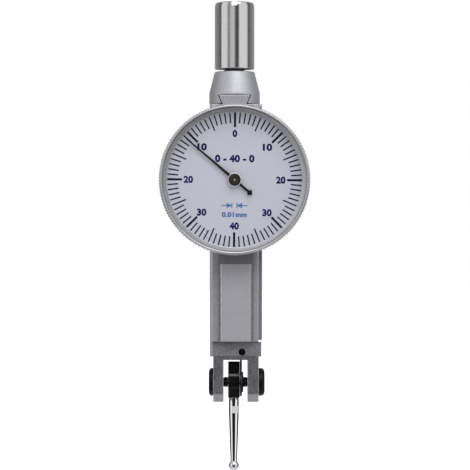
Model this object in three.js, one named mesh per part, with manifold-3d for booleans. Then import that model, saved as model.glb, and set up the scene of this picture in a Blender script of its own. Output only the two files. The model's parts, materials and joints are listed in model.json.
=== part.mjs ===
import * as THREE from "three";
import { mergeVertices } from "three/addons/utils/BufferGeometryUtils.js";
import Module from "manifold-3d";

const wasm = await Module();
wasm.setup();

// A lever-type dial test indicator, in millimetres, +Z up.
// The origin is on the stem's axis at the middle of its length, and the dial faces -Y.

// Fits and fineness
const overrun = 1; // how far a cutting tool runs past the face that it cuts
const seatGap = 0.02; // between pieces that are fixed in each other
const runningGap = 0.06; // between a journal and its bearing, on the radius
const slideGap = 0.12; // between the clamp and the dovetail that it slides on
const mergeDistance = 1e-4; // vertices nearer than this are one vertex
const fine = 48; // facets round the dial's large rings
const medium = 24; // facets round the stem, the clamp and the pivot
const coarse = 12; // facets round screws, jewels and arbors
const edgeSteps = 3; // facets round a rounded edge

// Stem and its clamp stud
const stemDiameter = 8;
const stemLength = 13.8;
const stemTopChamferHeight = 0.9;
const stemTopChamferDepth = 0.75;
const stemBottomChamfer = 0.45;
const stemSlotWidth = 0.85;
const stemSlotDepth = 1.1;
const studDiameter = 4.2;
const studInStem = 4;
const studNeck = 0.35; // the stud that shows between the stem and the clamp
const studTipChamfer = 0.4;
const studTipGap = 0.1; // from the stud's tip to the dovetail that it presses on

// Dovetail clamp
const clampTopDiameter = 8;
const clampDiameter = 10.2;
const clampConeHeight = 4.35;
const clampHeight = 6.7;
const clampEdgeRadius = 0.4;

// Dovetails on the body
const dovetailAngle = 24; // degrees from the face's normal
const endDovetailWidth = 6.3;
const endDovetailHeight = 1.85;
const sideDovetailWidth = 6.4;
const sideDovetailHeight = 1.5;
const frontDovetailLength = 15.5;
const rearDovetailLength = 40;

// Body
const bodyWidth = 10.45;
const bodyDepth = 11;
const bodyOffset = 0.275; // the body's middle, right of the stem's axis
const bodyEdge = 0.5;
const outerWall = 1; // left wall of the arm
const sideWall = 0.85; // front and rear walls of the arm
const topWall = 3;
const bottomWall = 2.7;
const dialDrop = 15.2; // from the body's top down to the dial's centre
const pivotToDial = 40.6; // from the stylus pivot up to the dial's centre

// Fork that holds the stylus pivot, in distances from the pivot's axis
const headRise = 8.35;
const shoulderRise = 5.35;
const slotRise = 4.65;
const forkReach = 3.85;
const forkChamfer = 1.7;
const headRecess = 0.8; // the fork head's faces behind the arm's faces
const headInset = 0.13; // the fork head's right face behind the cover's face
const forkWidth = 9.15;
const forkSlotWidth = 4.85;
const forkSlotOffset = -0.1; // the slot's middle from the body's middle

// Side cover and its screws
const coverThickness = 0.75;
const coverInset = 0.3; // cover's edge behind the arm's front and rear faces
const coverEndGap = 0.15;
const coverCorner = 0.4;
const coverScrewInset = 1.55; // screw centres from the cavity's end walls' outer ends
const coverScrewEdge = 1.9; // screw centres from the cover's long edges
const coverScrewLength = 2.5;
const coverScrewHeadRadius = 1.1;
const coverScrewHeadHeight = 0.5;
const coverScrewRadius = 0.6;
const coverScrewSlotWidth = 0.3;
const coverScrewSlotDepth = 0.25;

// Dial housing, in front of the arm
const housingInset = 0.8; // the housing's side behind the knurl's tips
const housingFloor = 0.8;
const housingEdge = 0.4;
const spigotLength = 1.2;
const spigotWall = 2.15; // from the housing's bore to the spigot's outer face
const frictionGrooveInset = 0.5; // from the housing's shoulder to the groove
const frictionGrooveWidth = 0.4;
const frictionGrooveDepth = 0.35;
const frictionRingGap = 8; // degrees that the split ring leaves open

// Bezel, crystal and dial
const bezelDiameter = 30;
const bezelWall = 0.8; // from the skirt's bore to the knurl's root
const bezelGap = 0.2; // from the housing's shoulder to the bezel's back
const bezelRunningGap = 0.1; // between the spigot and the bezel's skirt, on the radius
const bezelBackChamfer = 0.25;
const knurlTeeth = 154;
const knurlDepth = 0.35;
const knurlInset = 0.35; // from the bezel's back to the knurl
const knurlLength = 3.3;
const bezelLipInset = 0.55; // from the knurl's tips to the front lip's outer edge
const bezelLipWidth = 0.25;
const bezelLipHeight = 1.2;
const crystalSeatWidth = 0.8;
const crystalStandoff = 1.7; // from the dial's face to the crystal's seat
const crystalEdge = 0.5;
const crystalBevel = 0.55;
const crystalCrown = 0.15; // how far the middle stands above the bevel
const dialGap = 0.1; // from the spigot's front to the dial's retaining ring
const movementGap = 0.2; // from the pillar screws' heads to the dial's back
const retainingRingThickness = 0.3;
const retainingRingWidth = 1.2;
const dialThickness = 0.3;
const dialHole = 1.8;

// Pointer
const handDivisions = 11; // where the hand rests, in divisions anticlockwise of zero
const dialDivisions = 80;
const handTipGap = 0.8; // from the hand's tip to the edge of the window
const handRootWidth = 0.48;
const handTipWidth = 0.2;
const handTailReach = 4.1;
const handTailWidth = 0.3;
const handWeightSide = 1;
const handThickness = 0.15;
const handRise = 0.5; // from the dial's face to the hand
const handBossRadius = 1.15;
const hubRadius = 1.275;
const hubNeckRadius = 0.8;
const hubHeight = 0.45;
const hubEdge = 0.18;
const hubDimpleRadius = 0.35;
const hubDimpleDepth = 0.12;

// Movement plates, pillars and jewels
const plateGap = 0.6; // from the plates to the housing's bore
const plateThickness = 0.7;
const pillarLength = 1.7;
const pillarRadius = 0.9;
const pillarInset = 2.8; // from the plates' edge to the pillars' centres
const pillarCount = 3;
const pillarScrewRadius = 0.45;
const pillarScrewHeadRadius = 0.85;
const pillarScrewHeadHeight = 0.3;
const pillarScrewBite = 0.5; // how deep the screw's end sits in the housing's floor
const jewelRadius = 1.1;
const arborRadius = 0.4;
const arborHole = 1.6; // radius of the opening behind the rear plate

// Hairspring
const colletRadius = 1;
const colletLength = 0.8;
const colletInset = 0.45; // from the rear plate's face to the collet
const hairspringWidth = 0.6;
const hairspringThickness = 0.12;
const hairspringPitch = 0.6;
const hairspringTurns = 6;
const hairspringSteps = 14; // points in each turn
const hairspringStudSide = 0.6;

// Gears
const sectorTeethPerTurn = 396;
const sectorTeeth = 8;
const pinionTeeth = 12;
const crownTeeth = 48;
const crownWallGap = 0.55; // from the crown wheel to the arm's front and rear walls
const addendumShare = 0.8; // of the module
const dedendumShare = 1.25; // of the module
const tipShare = 0.2; // of the pitch, at the tooth's tip
const rootShare = 0.5; // of the pitch, at the tooth's root
const centrePinionLength = 1;
const crownFaceWidth = 0.7;
const crownRim = 0.15; // from the teeth's outer ends to the disc's edge
const crownDiscThickness = 0.6;
const crownHubRadius = 1.2;
const crownHubLength = 0.6;
const arborPinionLength = 0.8;

// Crown bridge
const bridgeCoverGap = 0.65; // from the bridge to the side cover
const bridgeThickness = 0.8;
const bridgePostRadius = 0.7;
const bridgePostGap = 0.8; // from the crown wheel to the upper post
const bridgeLowerDrop = 5.7;
const bridgeMargin = 0.9; // from a post's centre to the bridge's edge
const bridgeWallGap = 0.05; // from the bridge's corners to the arm's walls
const bridgeScrewRadius = 0.42;
const bridgeScrewHeadRadius = 0.85;
const bridgeScrewHeadHeight = 0.4;
const bridgeScrewLength = 2.4;

// Lever
const leverThickness = 0.4;
const leverLobeRadius = 2.87;
const leverWaistRise = 12; // from the pivot up to where the lever starts to narrow
const leverHalfWidth = 1.3;
const leverNeckDrop = 3.4; // from the pitch line down to the sector's shoulders
const leverNeckHalfWidth = 0.9;
const sectorDepth = 2.2; // from the pitch line down to the sector's lower edge
const leverRange = 3; // degrees each way
const channelSideGap = 0.3; // from the lever's faces to the channel in the fork head
const channelHalfDepth = 2.1;

// Travel stop screws
const stopRise = 6.25;
const stopOffset = 0.22; // from the lever's middle plane
const stopRadius = 0.7;
const stopGap = 0.06; // from the lever, at the end of its travel
const stopRecess = 0.7; // from the fork head's face to the screw's outer end

// Return spring
const returnSpringThickness = 0.15;
const returnSpringWidth = 1.3;
const returnSpringFoot = 3;
const returnSpringTop = 23.5; // from the pivot up to the foot's top
const returnSpringDrop = 8.5; // from the foot down to the tip
const returnSpringTipDepth = 2.3; // the tip's distance from the middle plane

// Pivot
const pivotHeadRadius = 2.8;
const pivotHeadLeft = 0.9;
const pivotHeadRight = 1.2;
const pivotHeadSideShare = 0.45; // of the head's height that is cylindrical
const pivotHeadTopShare = 0.7; // of the head's radius that is flat
const pivotSlotWidth = 0.6;
const pivotSlotDepth = 0.4;
const pivotBoreRadius = 1.5;
const bearingLength = 0.85;
const axleRadius = 0.5;
const axleEndGap = 0.1;
const spacerRadius = 1;
const spacerEdge = 0.15;
const washerRadius = 2.05;
const washerThickness = 0.22;
const stackGap = 0.05; // between pieces side by side on the axle

// Stylus
const stylusOffset = -0.15; // the stylus's axis from the stem's axis
const carrierWidth = 2.32;
const carrierHubRadius = 2.05;
const carrierTailGap = 0.55; // from the tail's end to the fork slot's top
const carrierTailHalf = 1.35;
const carrierTailChamfer = 0.3;
const carrierNoseDrop = 3.1;
const carrierNoseHalf = 1.45;
const leverLength = 16.8; // from the pivot to the ball's centre
const stylusThreadRadius = 0.55;
const stylusThreadLength = 2.2;
const stylusRadius = 1;
const stylusShoulder = 3.15; // length of the cylindrical stretch
const stylusTipRadius = 0.65;
const flatStart = 1.75; // from the carrier down to the spanner flats
const flatLength = 1.4;
const flatDepth = 0.15;
const ballRadius = 1;
const ballRings = 8;

// Places that follow from the sizes
const stemTopZ = stemLength / 2;
const stemBottomZ = -stemLength / 2;
const clampTopZ = stemBottomZ - studNeck;
const clampBottomZ = clampTopZ - clampHeight;
const bodyTopZ = clampBottomZ - slideGap;
const endDovetailTopZ = bodyTopZ + endDovetailHeight;
const dialZ = bodyTopZ - dialDrop;
const pivotZ = dialZ - pivotToDial;
const headTopZ = pivotZ + headRise;
const shoulderZ = pivotZ + shoulderRise;
const slotTopZ = pivotZ + slotRise;
const forkEndZ = pivotZ - forkReach;
const cavityTopZ = bodyTopZ - topWall;
const cavityBottomZ = headTopZ + bottomWall;

const bodyLeftX = bodyOffset - bodyWidth / 2;
const bodyRightX = bodyOffset + bodyWidth / 2;
const armRightX = bodyRightX - coverThickness;
const headRightX = bodyRightX - headInset;
const wallX = bodyLeftX + outerWall;
const forkLeftX = bodyOffset - forkWidth / 2;
const forkRightX = bodyOffset + forkWidth / 2;
const slotLeftX = bodyOffset + forkSlotOffset - forkSlotWidth / 2;
const slotRightX = slotLeftX + forkSlotWidth;

const armFrontY = -bodyDepth / 2;
const armRearY = bodyDepth / 2;
const cavityHalf = bodyDepth / 2 - sideWall;
const headHalf = bodyDepth / 2 - headRecess;
const floorY = armFrontY - housingFloor;
const rearPlateY = floorY - plateThickness;
const frontPlateBackY = rearPlateY - pillarLength;
const frontPlateY = frontPlateBackY - plateThickness;
const dialBackY = frontPlateY - pillarScrewHeadHeight - movementGap;
const dialY = dialBackY - dialThickness;
const retainingRingY = dialBackY + retainingRingThickness;
const spigotY = retainingRingY + dialGap;
const shoulderY = spigotY + spigotLength;
const grooveY = shoulderY - frictionGrooveInset;
const crystalSeatY = dialY - crystalStandoff;
const bezelFrontY = crystalSeatY - bezelLipHeight;
const bezelBackY = shoulderY - bezelGap;
const handBackY = dialY - handRise;
const handY = handBackY - handThickness;
const hubY = handY - hubHeight;

const knurlRadius = bezelDiameter / 2;
const knurlRootRadius = knurlRadius - knurlDepth;
const skirtRadius = knurlRootRadius - bezelWall;
const bezelLipRadius = knurlRadius - bezelLipInset;
const crystalSeatRadius = bezelLipRadius - bezelLipWidth;
const windowRadius = crystalSeatRadius - crystalSeatWidth;
const handReach = windowRadius - handTipGap;
const spigotRadius = skirtRadius - bezelRunningGap;
const housingRadius = knurlRadius - housingInset;
const housingBoreRadius = spigotRadius - spigotWall;
const plateRadius = housingBoreRadius - plateGap;
const pillarCircleRadius = plateRadius - pillarInset;
const gearModule = (2 * pivotToDial) / (sectorTeethPerTurn + pinionTeeth);
const sectorRadius = (gearModule * sectorTeethPerTurn) / 2;
const arborPinionRadius = (gearModule * pinionTeeth) / 2;
const crownOuterRadius = cavityHalf - crownWallGap;
const crownRadius = crownOuterRadius - crownRim - crownFaceWidth / 2;
const crownModule = (2 * crownRadius) / crownTeeth;
const centrePinionRadius = (crownModule * pinionTeeth) / 2;
const crownFaceX = -centrePinionRadius;
const carrierTailRise = slotRise - carrierTailGap;
const carrierLeftX = stylusOffset - carrierWidth / 2;
const carrierRightX = stylusOffset + carrierWidth / 2;
const leverX = carrierRightX + stackGap;
const leverRightX = leverX + leverThickness;
const washerX = leverRightX + stackGap;
const spacerRightX = washerX + washerThickness + stackGap;
const bridgeX = armRightX - bridgeCoverGap - bridgeThickness;
const bridgeUpperRise = crownOuterRadius + bridgePostGap + bridgePostRadius;
const bridgeLowerSpread = cavityHalf - bridgeWallGap - bridgeMargin; // each lower post from the middle

const dialSpot = new THREE.Vector3(0, 0, dialZ);
const pivotSpot = new THREE.Vector3(0, 0, pivotZ);

// Finishes
function finish(color, roughness, metalness, more = {}) {
  return new THREE.MeshStandardMaterial({ color, roughness, metalness, ...more });
}
const brightSteel = finish(0xc4c2c4, 0.22, 1);
const satinChrome = finish(0xa4a4ac, 0.42, 1);
const blastedSteel = finish(0x8a8a90, 0.55, 0.9);
const blackSteel = finish(0x1b1b1d, 0.4, 0.7);
const polishedSteel = finish(0xd8d8da, 0.12, 1);
const carbide = finish(0xb9b9be, 0.15, 1);
const brass = finish(0xb8995a, 0.35, 1);
const blueSteel = finish(0x2f3f6b, 0.3, 1);
const ruby = finish(0xa01838, 0.15, 0);
const dialPaint = finish(0xbabbc8, 0.55, 0);
const handPaint = finish(0x101014, 0.45, 0.2);
const hubMetal = finish(0x2c2c24, 0.25, 0.9);
const clearPlastic = finish(0xf2f4f8, 0.05, 0, { transparent: true, opacity: 0.25 });

// Solids: every helper takes and gives a BufferGeometry
function solidOf(geometry) {
  const plain = geometry.clone();
  plain.deleteAttribute("normal");
  plain.deleteAttribute("uv");
  const merged = mergeVertices(plain, mergeDistance);
  return new wasm.Manifold(
    new wasm.Mesh({
      numProp: 3,
      vertProperties: merged.attributes.position.array,
      triVerts: new Uint32Array(merged.index.array),
    }),
  );
}

function geometryOf(solid) {
  const mesh = solid.getMesh();
  const geometry = new THREE.BufferGeometry();
  geometry.setAttribute("position", new THREE.BufferAttribute(mesh.vertProperties, 3));
  geometry.setIndex(new THREE.BufferAttribute(mesh.triVerts, 1));
  return geometry;
}

function join(...geometries) {
  return geometryOf(geometries.map(solidOf).reduce((whole, piece) => whole.add(piece)));
}

function cut(geometry, ...tools) {
  const start = solidOf(geometry);
  return geometryOf(tools.map(solidOf).reduce((whole, tool) => whole.subtract(tool), start));
}

const alongX = new THREE.Matrix4().makeBasis(
  new THREE.Vector3(0, 1, 0),
  new THREE.Vector3(0, 0, 1),
  new THREE.Vector3(1, 0, 0),
);
const alongY = new THREE.Matrix4().makeBasis(
  new THREE.Vector3(1, 0, 0),
  new THREE.Vector3(0, 0, 1),
  new THREE.Vector3(0, -1, 0),
);

function points(pairs) {
  return pairs.map(([u, v]) => new THREE.Vector2(u, v));
}

// A block between two corners
function block(x0, x1, y0, y1, z0, z1) {
  const geometry = new THREE.BoxGeometry(x1 - x0, y1 - y0, z1 - z0);
  return geometry.translate((x0 + x1) / 2, (y0 + y1) / 2, (z0 + z1) / 2);
}

// The outline runs anticlockwise, whichever way its points are written
function anticlockwise(pairs) {
  const outline = points(pairs);
  return THREE.ShapeUtils.isClockWise(outline) ? outline.reverse() : outline;
}

function extruded(outline, length, holes = []) {
  const shape = new THREE.Shape(anticlockwise(outline));
  shape.holes = holes.map((hole) => new THREE.Path(anticlockwise(hole).reverse()));
  return new THREE.ExtrudeGeometry(shape, { depth: length, bevelEnabled: false });
}

// An outline in X and Y, run up from z0 to z1
function prismZ(outline, z0, z1) {
  return extruded(outline, z1 - z0).translate(0, 0, z0);
}

// An outline in X and Z, run forward from the rear place to the front one
function prismY(outline, rearY, frontY, holes) {
  return extruded(outline, rearY - frontY, holes).applyMatrix4(alongY).translate(0, rearY, 0);
}

// An outline in Y and Z, run right from x0 to x1
function prismX(outline, x0, x1, holes) {
  return extruded(outline, x1 - x0, holes).applyMatrix4(alongX).translate(x0, 0, 0);
}

// An outline of radius and height, turned about an axis through the group's origin
function turned(outline, facets, axis) {
  const profile = points(outline);
  const onAxis = profile[0].x === 0 && profile.at(-1).x === 0;
  if (THREE.ShapeUtils.area(profile) < 0) profile.reverse();
  if (!onAxis) profile.push(profile[0].clone());
  const geometry = new THREE.LatheGeometry(profile, facets);
  if (axis === "z") geometry.rotateX(Math.PI / 2);
  if (axis === "x") geometry.rotateZ(-Math.PI / 2);
  return geometry;
}

// A disc or a ring between two heights on an axis
function ring(inner, outer, from, to, facets, axis) {
  const outline = [
    [inner, from],
    [outer, from],
    [outer, to],
    [inner, to],
  ];
  return turned(outline, facets, axis);
}

function rod(radius, from, to, facets, axis) {
  return ring(0, radius, from, to, facets, axis);
}

function circle(radius, facets, u = 0, v = 0) {
  return Array.from({ length: facets }, (_, i) => {
    const angle = (2 * Math.PI * i) / facets;
    return [u + radius * Math.sin(angle), v + radius * Math.cos(angle)];
  });
}

// Points on an arc about a centre, angles in degrees
function arc(u, v, radius, from, to, steps) {
  return Array.from({ length: steps + 1 }, (_, i) => {
    const angle = THREE.MathUtils.degToRad(from + ((to - from) * i) / steps);
    return [u + radius * Math.cos(angle), v + radius * Math.sin(angle)];
  });
}

// A screw on an axis: its head sits on the seat, and its shank runs the other way
function screw(size, seat, out, axis) {
  const height = (share) => seat + out * share;
  const outline = [
    [0, height(-size.length)],
    [size.radius, height(-size.length)],
    [size.radius, seat],
    [size.headRadius, seat],
    [size.headRadius, height(size.headHeight)],
    [0, height(size.headHeight)],
  ];
  return turned(outline, coarse, axis);
}

// Points that come again about the origin, one tooth after another
function toothed(teeth, radius, module, phase = 0) {
  const pitch = (2 * Math.PI) / teeth;
  const root = radius - dedendumShare * module;
  const tip = radius + addendumShare * module;
  return Array.from({ length: teeth }, (_, i) => {
    const middle = (i + phase) * pitch;
    const corner = (r, share) => [r * Math.sin(middle + share * pitch), r * Math.cos(middle + share * pitch)];
    return [
      corner(root, -rootShare / 2),
      corner(tip, -tipShare / 2),
      corner(tip, tipShare / 2),
      corner(root, rootShare / 2),
    ];
  }).flat();
}

// A dovetail's outline: wide at its top, narrow at its foot
function dovetail(width, height, foot, middle = 0, gap = 0) {
  const undercut = height * Math.tan(THREE.MathUtils.degToRad(dovetailAngle));
  const topHalf = width / 2 + gap;
  const footHalf = topHalf - undercut;
  return [
    [middle - footHalf, foot],
    [middle + footHalf, foot],
    [middle + topHalf, foot + height],
    [middle - topHalf, foot + height],
  ];
}

const indicator = new THREE.Group();
const caseGroup = new THREE.Group();
const dialGroup = new THREE.Group();
const pivotGroup = new THREE.Group();
const stemGroup = new THREE.Group();
dialGroup.position.copy(dialSpot);
pivotGroup.position.copy(pivotSpot);
indicator.add(caseGroup, dialGroup, pivotGroup, stemGroup);

function piece(group, name, geometry, material) {
  const flat = geometry.index ? geometry.toNonIndexed() : geometry;
  flat.computeVertexNormals();
  const mesh = new THREE.Mesh(flat, material);
  mesh.name = name;
  group.add(mesh);
}

// Stem: a barrel with a screwdriver slot, on a black stud that tightens the clamp
function stemBarrel() {
  const radius = stemDiameter / 2;
  const bore = studDiameter / 2 + seatGap;
  const boreTop = stemBottomZ + studInStem + seatGap;
  const outline = [
    [0, boreTop],
    [bore, boreTop],
    [bore, stemBottomZ],
    [radius - stemBottomChamfer, stemBottomZ],
    [radius, stemBottomZ + stemBottomChamfer],
    [radius, stemTopZ - stemTopChamferHeight],
    [radius - stemTopChamferDepth, stemTopZ],
    [0, stemTopZ],
  ];
  const half = stemSlotWidth / 2;
  const reach = radius + overrun;
  const slot = block(-half, half, -reach, reach, stemTopZ - stemSlotDepth, stemTopZ + overrun);
  return cut(turned(outline, medium, "z"), slot);
}

function clampStud() {
  const radius = studDiameter / 2;
  const top = stemBottomZ + studInStem;
  const tip = endDovetailTopZ + studTipGap;
  const outline = [
    [0, tip],
    [radius - studTipChamfer, tip],
    [radius, tip + studTipChamfer],
    [radius, top],
    [0, top],
  ];
  return turned(outline, medium, "z");
}

// Clamp: a conical collar, slotted along Y for the dovetail on the body's end
function dovetailClamp() {
  const bore = studDiameter / 2 + runningGap;
  const top = clampTopDiameter / 2;
  const wide = clampDiameter / 2;
  const edge = clampEdgeRadius;
  const outline = [
    [bore, clampBottomZ],
    ...arc(wide - edge, clampBottomZ + edge, edge, -90, 0, edgeSteps),
    [wide, clampTopZ - clampConeHeight],
    ...arc(top - edge, clampTopZ - edge, edge, 0, 90, edgeSteps),
    [bore, clampTopZ],
  ];
  const height = endDovetailHeight + slideGap;
  const groove = dovetail(endDovetailWidth, height, bodyTopZ, 0, slideGap * 2);
  const slot = prismY(groove, wide + overrun, -wide - overrun);
  return cut(turned(outline, medium, "z"), slot);
}

// Frame: arm, dovetails, dial housing and fork in one piece
function armBlock() {
  const edge = bodyEdge;
  const half = bodyDepth / 2;
  const outline = [
    [bodyLeftX, -half + edge],
    [bodyLeftX + edge, -half],
    [armRightX, -half],
    [armRightX, half],
    [bodyLeftX + edge, half],
    [bodyLeftX, half - edge],
  ];
  return prismZ(outline, headTopZ, bodyTopZ);
}

function forkBlock() {
  const half = headHalf;
  const outline = [
    [-half, shoulderZ],
    [-half, forkEndZ + forkChamfer],
    [-half + forkChamfer, forkEndZ],
    [half - forkChamfer, forkEndZ],
    [half, forkEndZ + forkChamfer],
    [half, shoulderZ],
  ];
  return prismX(outline, forkLeftX, forkRightX);
}

function sideDovetail(side, length) {
  const outline = dovetail(sideDovetailWidth, sideDovetailHeight, armRearY, 0).map(([u, v]) => [
    bodyOffset + u,
    side * v,
  ]);
  return prismZ(outline, headTopZ, headTopZ + length);
}

function housingCup() {
  const radius = housingRadius;
  const grooveRadius = spigotRadius - frictionGrooveDepth;
  const outline = [
    [0, armFrontY],
    [radius - housingEdge, armFrontY],
    [radius, armFrontY - housingEdge],
    [radius, shoulderY],
    [spigotRadius, shoulderY],
    [spigotRadius, grooveY],
    [grooveRadius, grooveY],
    [grooveRadius, grooveY - frictionGrooveWidth],
    [spigotRadius, grooveY - frictionGrooveWidth],
    [spigotRadius, spigotY],
    [housingBoreRadius, spigotY],
    [housingBoreRadius, floorY],
    [0, floorY],
  ];
  return turned(outline, fine, "y").translate(0, 0, dialZ);
}

const bridgePosts = [
  [0, bridgeUpperRise],
  [-bridgeLowerSpread, -bridgeLowerDrop],
  [bridgeLowerSpread, -bridgeLowerDrop],
];
const pillarSpots = Array.from({ length: pillarCount }, (_, i) => {
  const angle = (2 * Math.PI * i) / pillarCount;
  return [pillarCircleRadius * Math.sin(angle), pillarCircleRadius * Math.cos(angle)];
});
const coverScrewY = bodyDepth / 2 - coverInset - coverScrewEdge;
const coverScrewSpots = [bodyTopZ - coverScrewInset, cavityBottomZ - coverScrewInset].flatMap((z) =>
  [-1, 1].map((side) => [side * coverScrewY, z]),
);
const stopX = (leverX + leverRightX) / 2 + stopOffset;
const stopZ = pivotZ + stopRise;

function mainFrame() {
  const solid = join(
    armBlock(),
    block(bodyLeftX, headRightX, -headHalf, headHalf, shoulderZ, headTopZ),
    forkBlock(),
    prismY(dovetail(endDovetailWidth, endDovetailHeight, bodyTopZ), armRearY, armFrontY),
    sideDovetail(-1, frontDovetailLength),
    sideDovetail(1, rearDovetailLength),
    housingCup(),
  );
  const cavity = block(
    wallX,
    armRightX + overrun,
    -cavityHalf,
    cavityHalf,
    cavityBottomZ,
    cavityTopZ,
  );
  const slot = block(
    slotLeftX,
    slotRightX,
    -headHalf - overrun,
    headHalf + overrun,
    forkEndZ - overrun,
    slotTopZ,
  );
  const channel = block(
    leverX - channelSideGap,
    leverRightX + channelSideGap,
    -channelHalfDepth,
    channelHalfDepth,
    slotTopZ - overrun,
    cavityBottomZ + overrun,
  );
  const pivotBore = rod(
    pivotBoreRadius + seatGap,
    forkLeftX - overrun,
    forkRightX + overrun,
    medium,
    "x",
  ).translate(0, 0, pivotZ);
  const stopHole = rod(
    stopRadius + seatGap,
    -headHalf - overrun,
    headHalf + overrun,
    coarse,
    "y",
  ).translate(stopX, 0, stopZ);
  const arborOpening = rod(arborHole, floorY - overrun, armFrontY + sideWall + overrun, coarse, "y");
  const jewelPocket = rod(jewelRadius + seatGap, wallX - plateThickness, wallX + overrun, coarse, "x");
  const coverHoles = coverScrewSpots.map(([y, z]) =>
    rod(
      coverScrewRadius + seatGap,
      bodyRightX - coverScrewLength - seatGap,
      bodyRightX + overrun,
      coarse,
      "x",
    ).translate(0, y, z),
  );
  const floorHoles = pillarSpots.map(([x, z]) =>
    rod(pillarScrewRadius + seatGap, floorY - overrun, floorY + pillarScrewBite + seatGap, coarse, "y").translate(
      x,
      0,
      dialZ + z,
    ),
  );
  const hollowed = cut(
    solid,
    cavity,
    slot,
    channel,
    pivotBore,
    stopHole,
    arborOpening.translate(0, 0, dialZ),
    jewelPocket.translate(0, 0, dialZ),
    ...coverHoles,
    ...floorHoles,
  );
  const posts = bridgePosts.map(([y, z]) =>
    ring(
      bridgeScrewRadius + seatGap,
      bridgePostRadius,
      wallX,
      bridgeX,
      coarse,
      "x",
    ).translate(0, y, dialZ + z),
  );
  return join(hollowed, ...posts);
}

function sideCover() {
  const half = bodyDepth / 2 - coverInset;
  const bottom = headTopZ + coverEndGap;
  const corner = coverCorner;
  const outline = [
    [-half + corner, bottom],
    [half - corner, bottom],
    [half, bottom + corner],
    [half, bodyTopZ - corner],
    [half - corner, bodyTopZ],
    [-half + corner, bodyTopZ],
    [-half, bodyTopZ - corner],
    [-half, bottom + corner],
  ];
  const holes = coverScrewSpots.map(([y, z]) => countersunk(seatGap).translate(0, y, z));
  return cut(prismX(outline, armRightX, bodyRightX), ...holes);
}

// A countersunk shape on the X axis that runs on past the cover's outer face
function countersunk(gap) {
  const radius = coverScrewRadius + gap;
  const headRadius = coverScrewHeadRadius + gap;
  const tip = bodyRightX - coverScrewLength;
  const outline = [
    [0, tip],
    [radius, tip],
    [radius, bodyRightX - coverScrewHeadHeight],
    [headRadius, bodyRightX],
    [headRadius, bodyRightX + overrun],
    [0, bodyRightX + overrun],
  ];
  return turned(outline, coarse, "x");
}

function coverScrew() {
  const half = coverScrewSlotWidth / 2;
  const reach = coverScrewHeadRadius + overrun;
  const outside = bodyRightX + overrun * 2;
  const proud = block(bodyRightX, outside, -reach, reach, -reach, reach);
  const slot = block(bodyRightX - coverScrewSlotDepth, outside, -reach, reach, -half, half);
  return cut(countersunk(0), proud, slot);
}

// A headless screw that stops the lever at the end of its swing
function stopScrew(side) {
  const swing = THREE.MathUtils.degToRad(leverRange);
  const reach = (stopRise + stopRadius) * Math.sin(swing) + leverHalfWidth * Math.cos(swing);
  const inner = reach + stopGap;
  const outer = headHalf - stopRecess;
  return rod(stopRadius, side * inner, side * outer, coarse, "y");
}

// A leaf on the rear wall, bent forward to bear on the lever
function returnSpring() {
  const wall = cavityHalf;
  const thickness = returnSpringThickness;
  const top = pivotZ + returnSpringTop;
  const bend = top - returnSpringFoot;
  const tip = bend - returnSpringDrop;
  const outline = [
    [wall, top],
    [wall - thickness, top],
    [wall - thickness, bend],
    [returnSpringTipDepth, tip + thickness],
    [returnSpringTipDepth, tip],
    [returnSpringTipDepth + thickness, tip],
    [wall, bend],
  ];
  const middle = (leverX + leverRightX) / 2;
  return prismX(outline, middle - returnSpringWidth / 2, middle + returnSpringWidth / 2);
}

// Movement, about the dial's centre
function movementPlate(rearY, frontY) {
  const holes = pillarSpots.map(([x, z]) => circle(pillarScrewRadius + seatGap, coarse, x, z));
  holes.push(circle(jewelRadius + seatGap, coarse));
  return prismY(circle(plateRadius, fine), rearY, frontY, holes);
}

function jewel(from, to, axis) {
  return ring(arborRadius + runningGap, jewelRadius, from, to, coarse, axis);
}

function pillarScrew() {
  const size = {
    radius: pillarScrewRadius,
    headRadius: pillarScrewHeadRadius,
    headHeight: pillarScrewHeadHeight,
    length: floorY + pillarScrewBite - frontPlateY,
  };
  return screw(size, frontPlateY, -1, "y");
}

function centreArbor() {
  const pinionY = -crownRadius;
  const pinionFront = pinionY - centrePinionLength / 2;
  const teeth = toothed(pinionTeeth, centrePinionRadius, crownModule, 0);
  const pinion = prismY(teeth, pinionFront + centrePinionLength, pinionFront);
  return join(pinion, rod(arborRadius, pinionFront, handY - hubHeight / 2, coarse, "y"));
}

const colletBackY = rearPlateY - colletInset;
const springBackY = colletBackY - (colletLength - hairspringWidth) / 2;
const springStart = colletRadius + seatGap + hairspringThickness / 2;
const springEnd = springStart + hairspringPitch * hairspringTurns;

function hairspringPoints() {
  const steps = hairspringTurns * hairspringSteps;
  return Array.from({ length: steps + 1 }, (_, i) => {
    const angle = (2 * Math.PI * i) / hairspringSteps;
    const radius = springStart + (hairspringPitch * i) / hairspringSteps;
    return new THREE.Vector2(radius * Math.cos(angle), radius * Math.sin(angle));
  });
}

function hairspring() {
  const route = hairspringPoints();
  const half = hairspringThickness / 2;
  const side = (sign) => route.map((p) => p.clone().setLength(p.length() + sign * half).toArray());
  const outline = [...side(1), ...side(-1).reverse()];
  return prismY(outline, springBackY, springBackY - hairspringWidth);
}

function hairspringGap() {
  const route = hairspringPoints();
  const turn = hairspringSteps;
  const gaps = route.slice(turn).map((p, i) => p.distanceTo(route[i]) - hairspringThickness);
  return Math.min(...gaps);
}

function hairspringStud() {
  const half = hairspringStudSide / 2;
  return block(
    springEnd - half,
    springEnd + half,
    springBackY - hairspringWidth,
    rearPlateY,
    seatGap * 2,
    seatGap * 2 + hairspringStudSide,
  );
}

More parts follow.
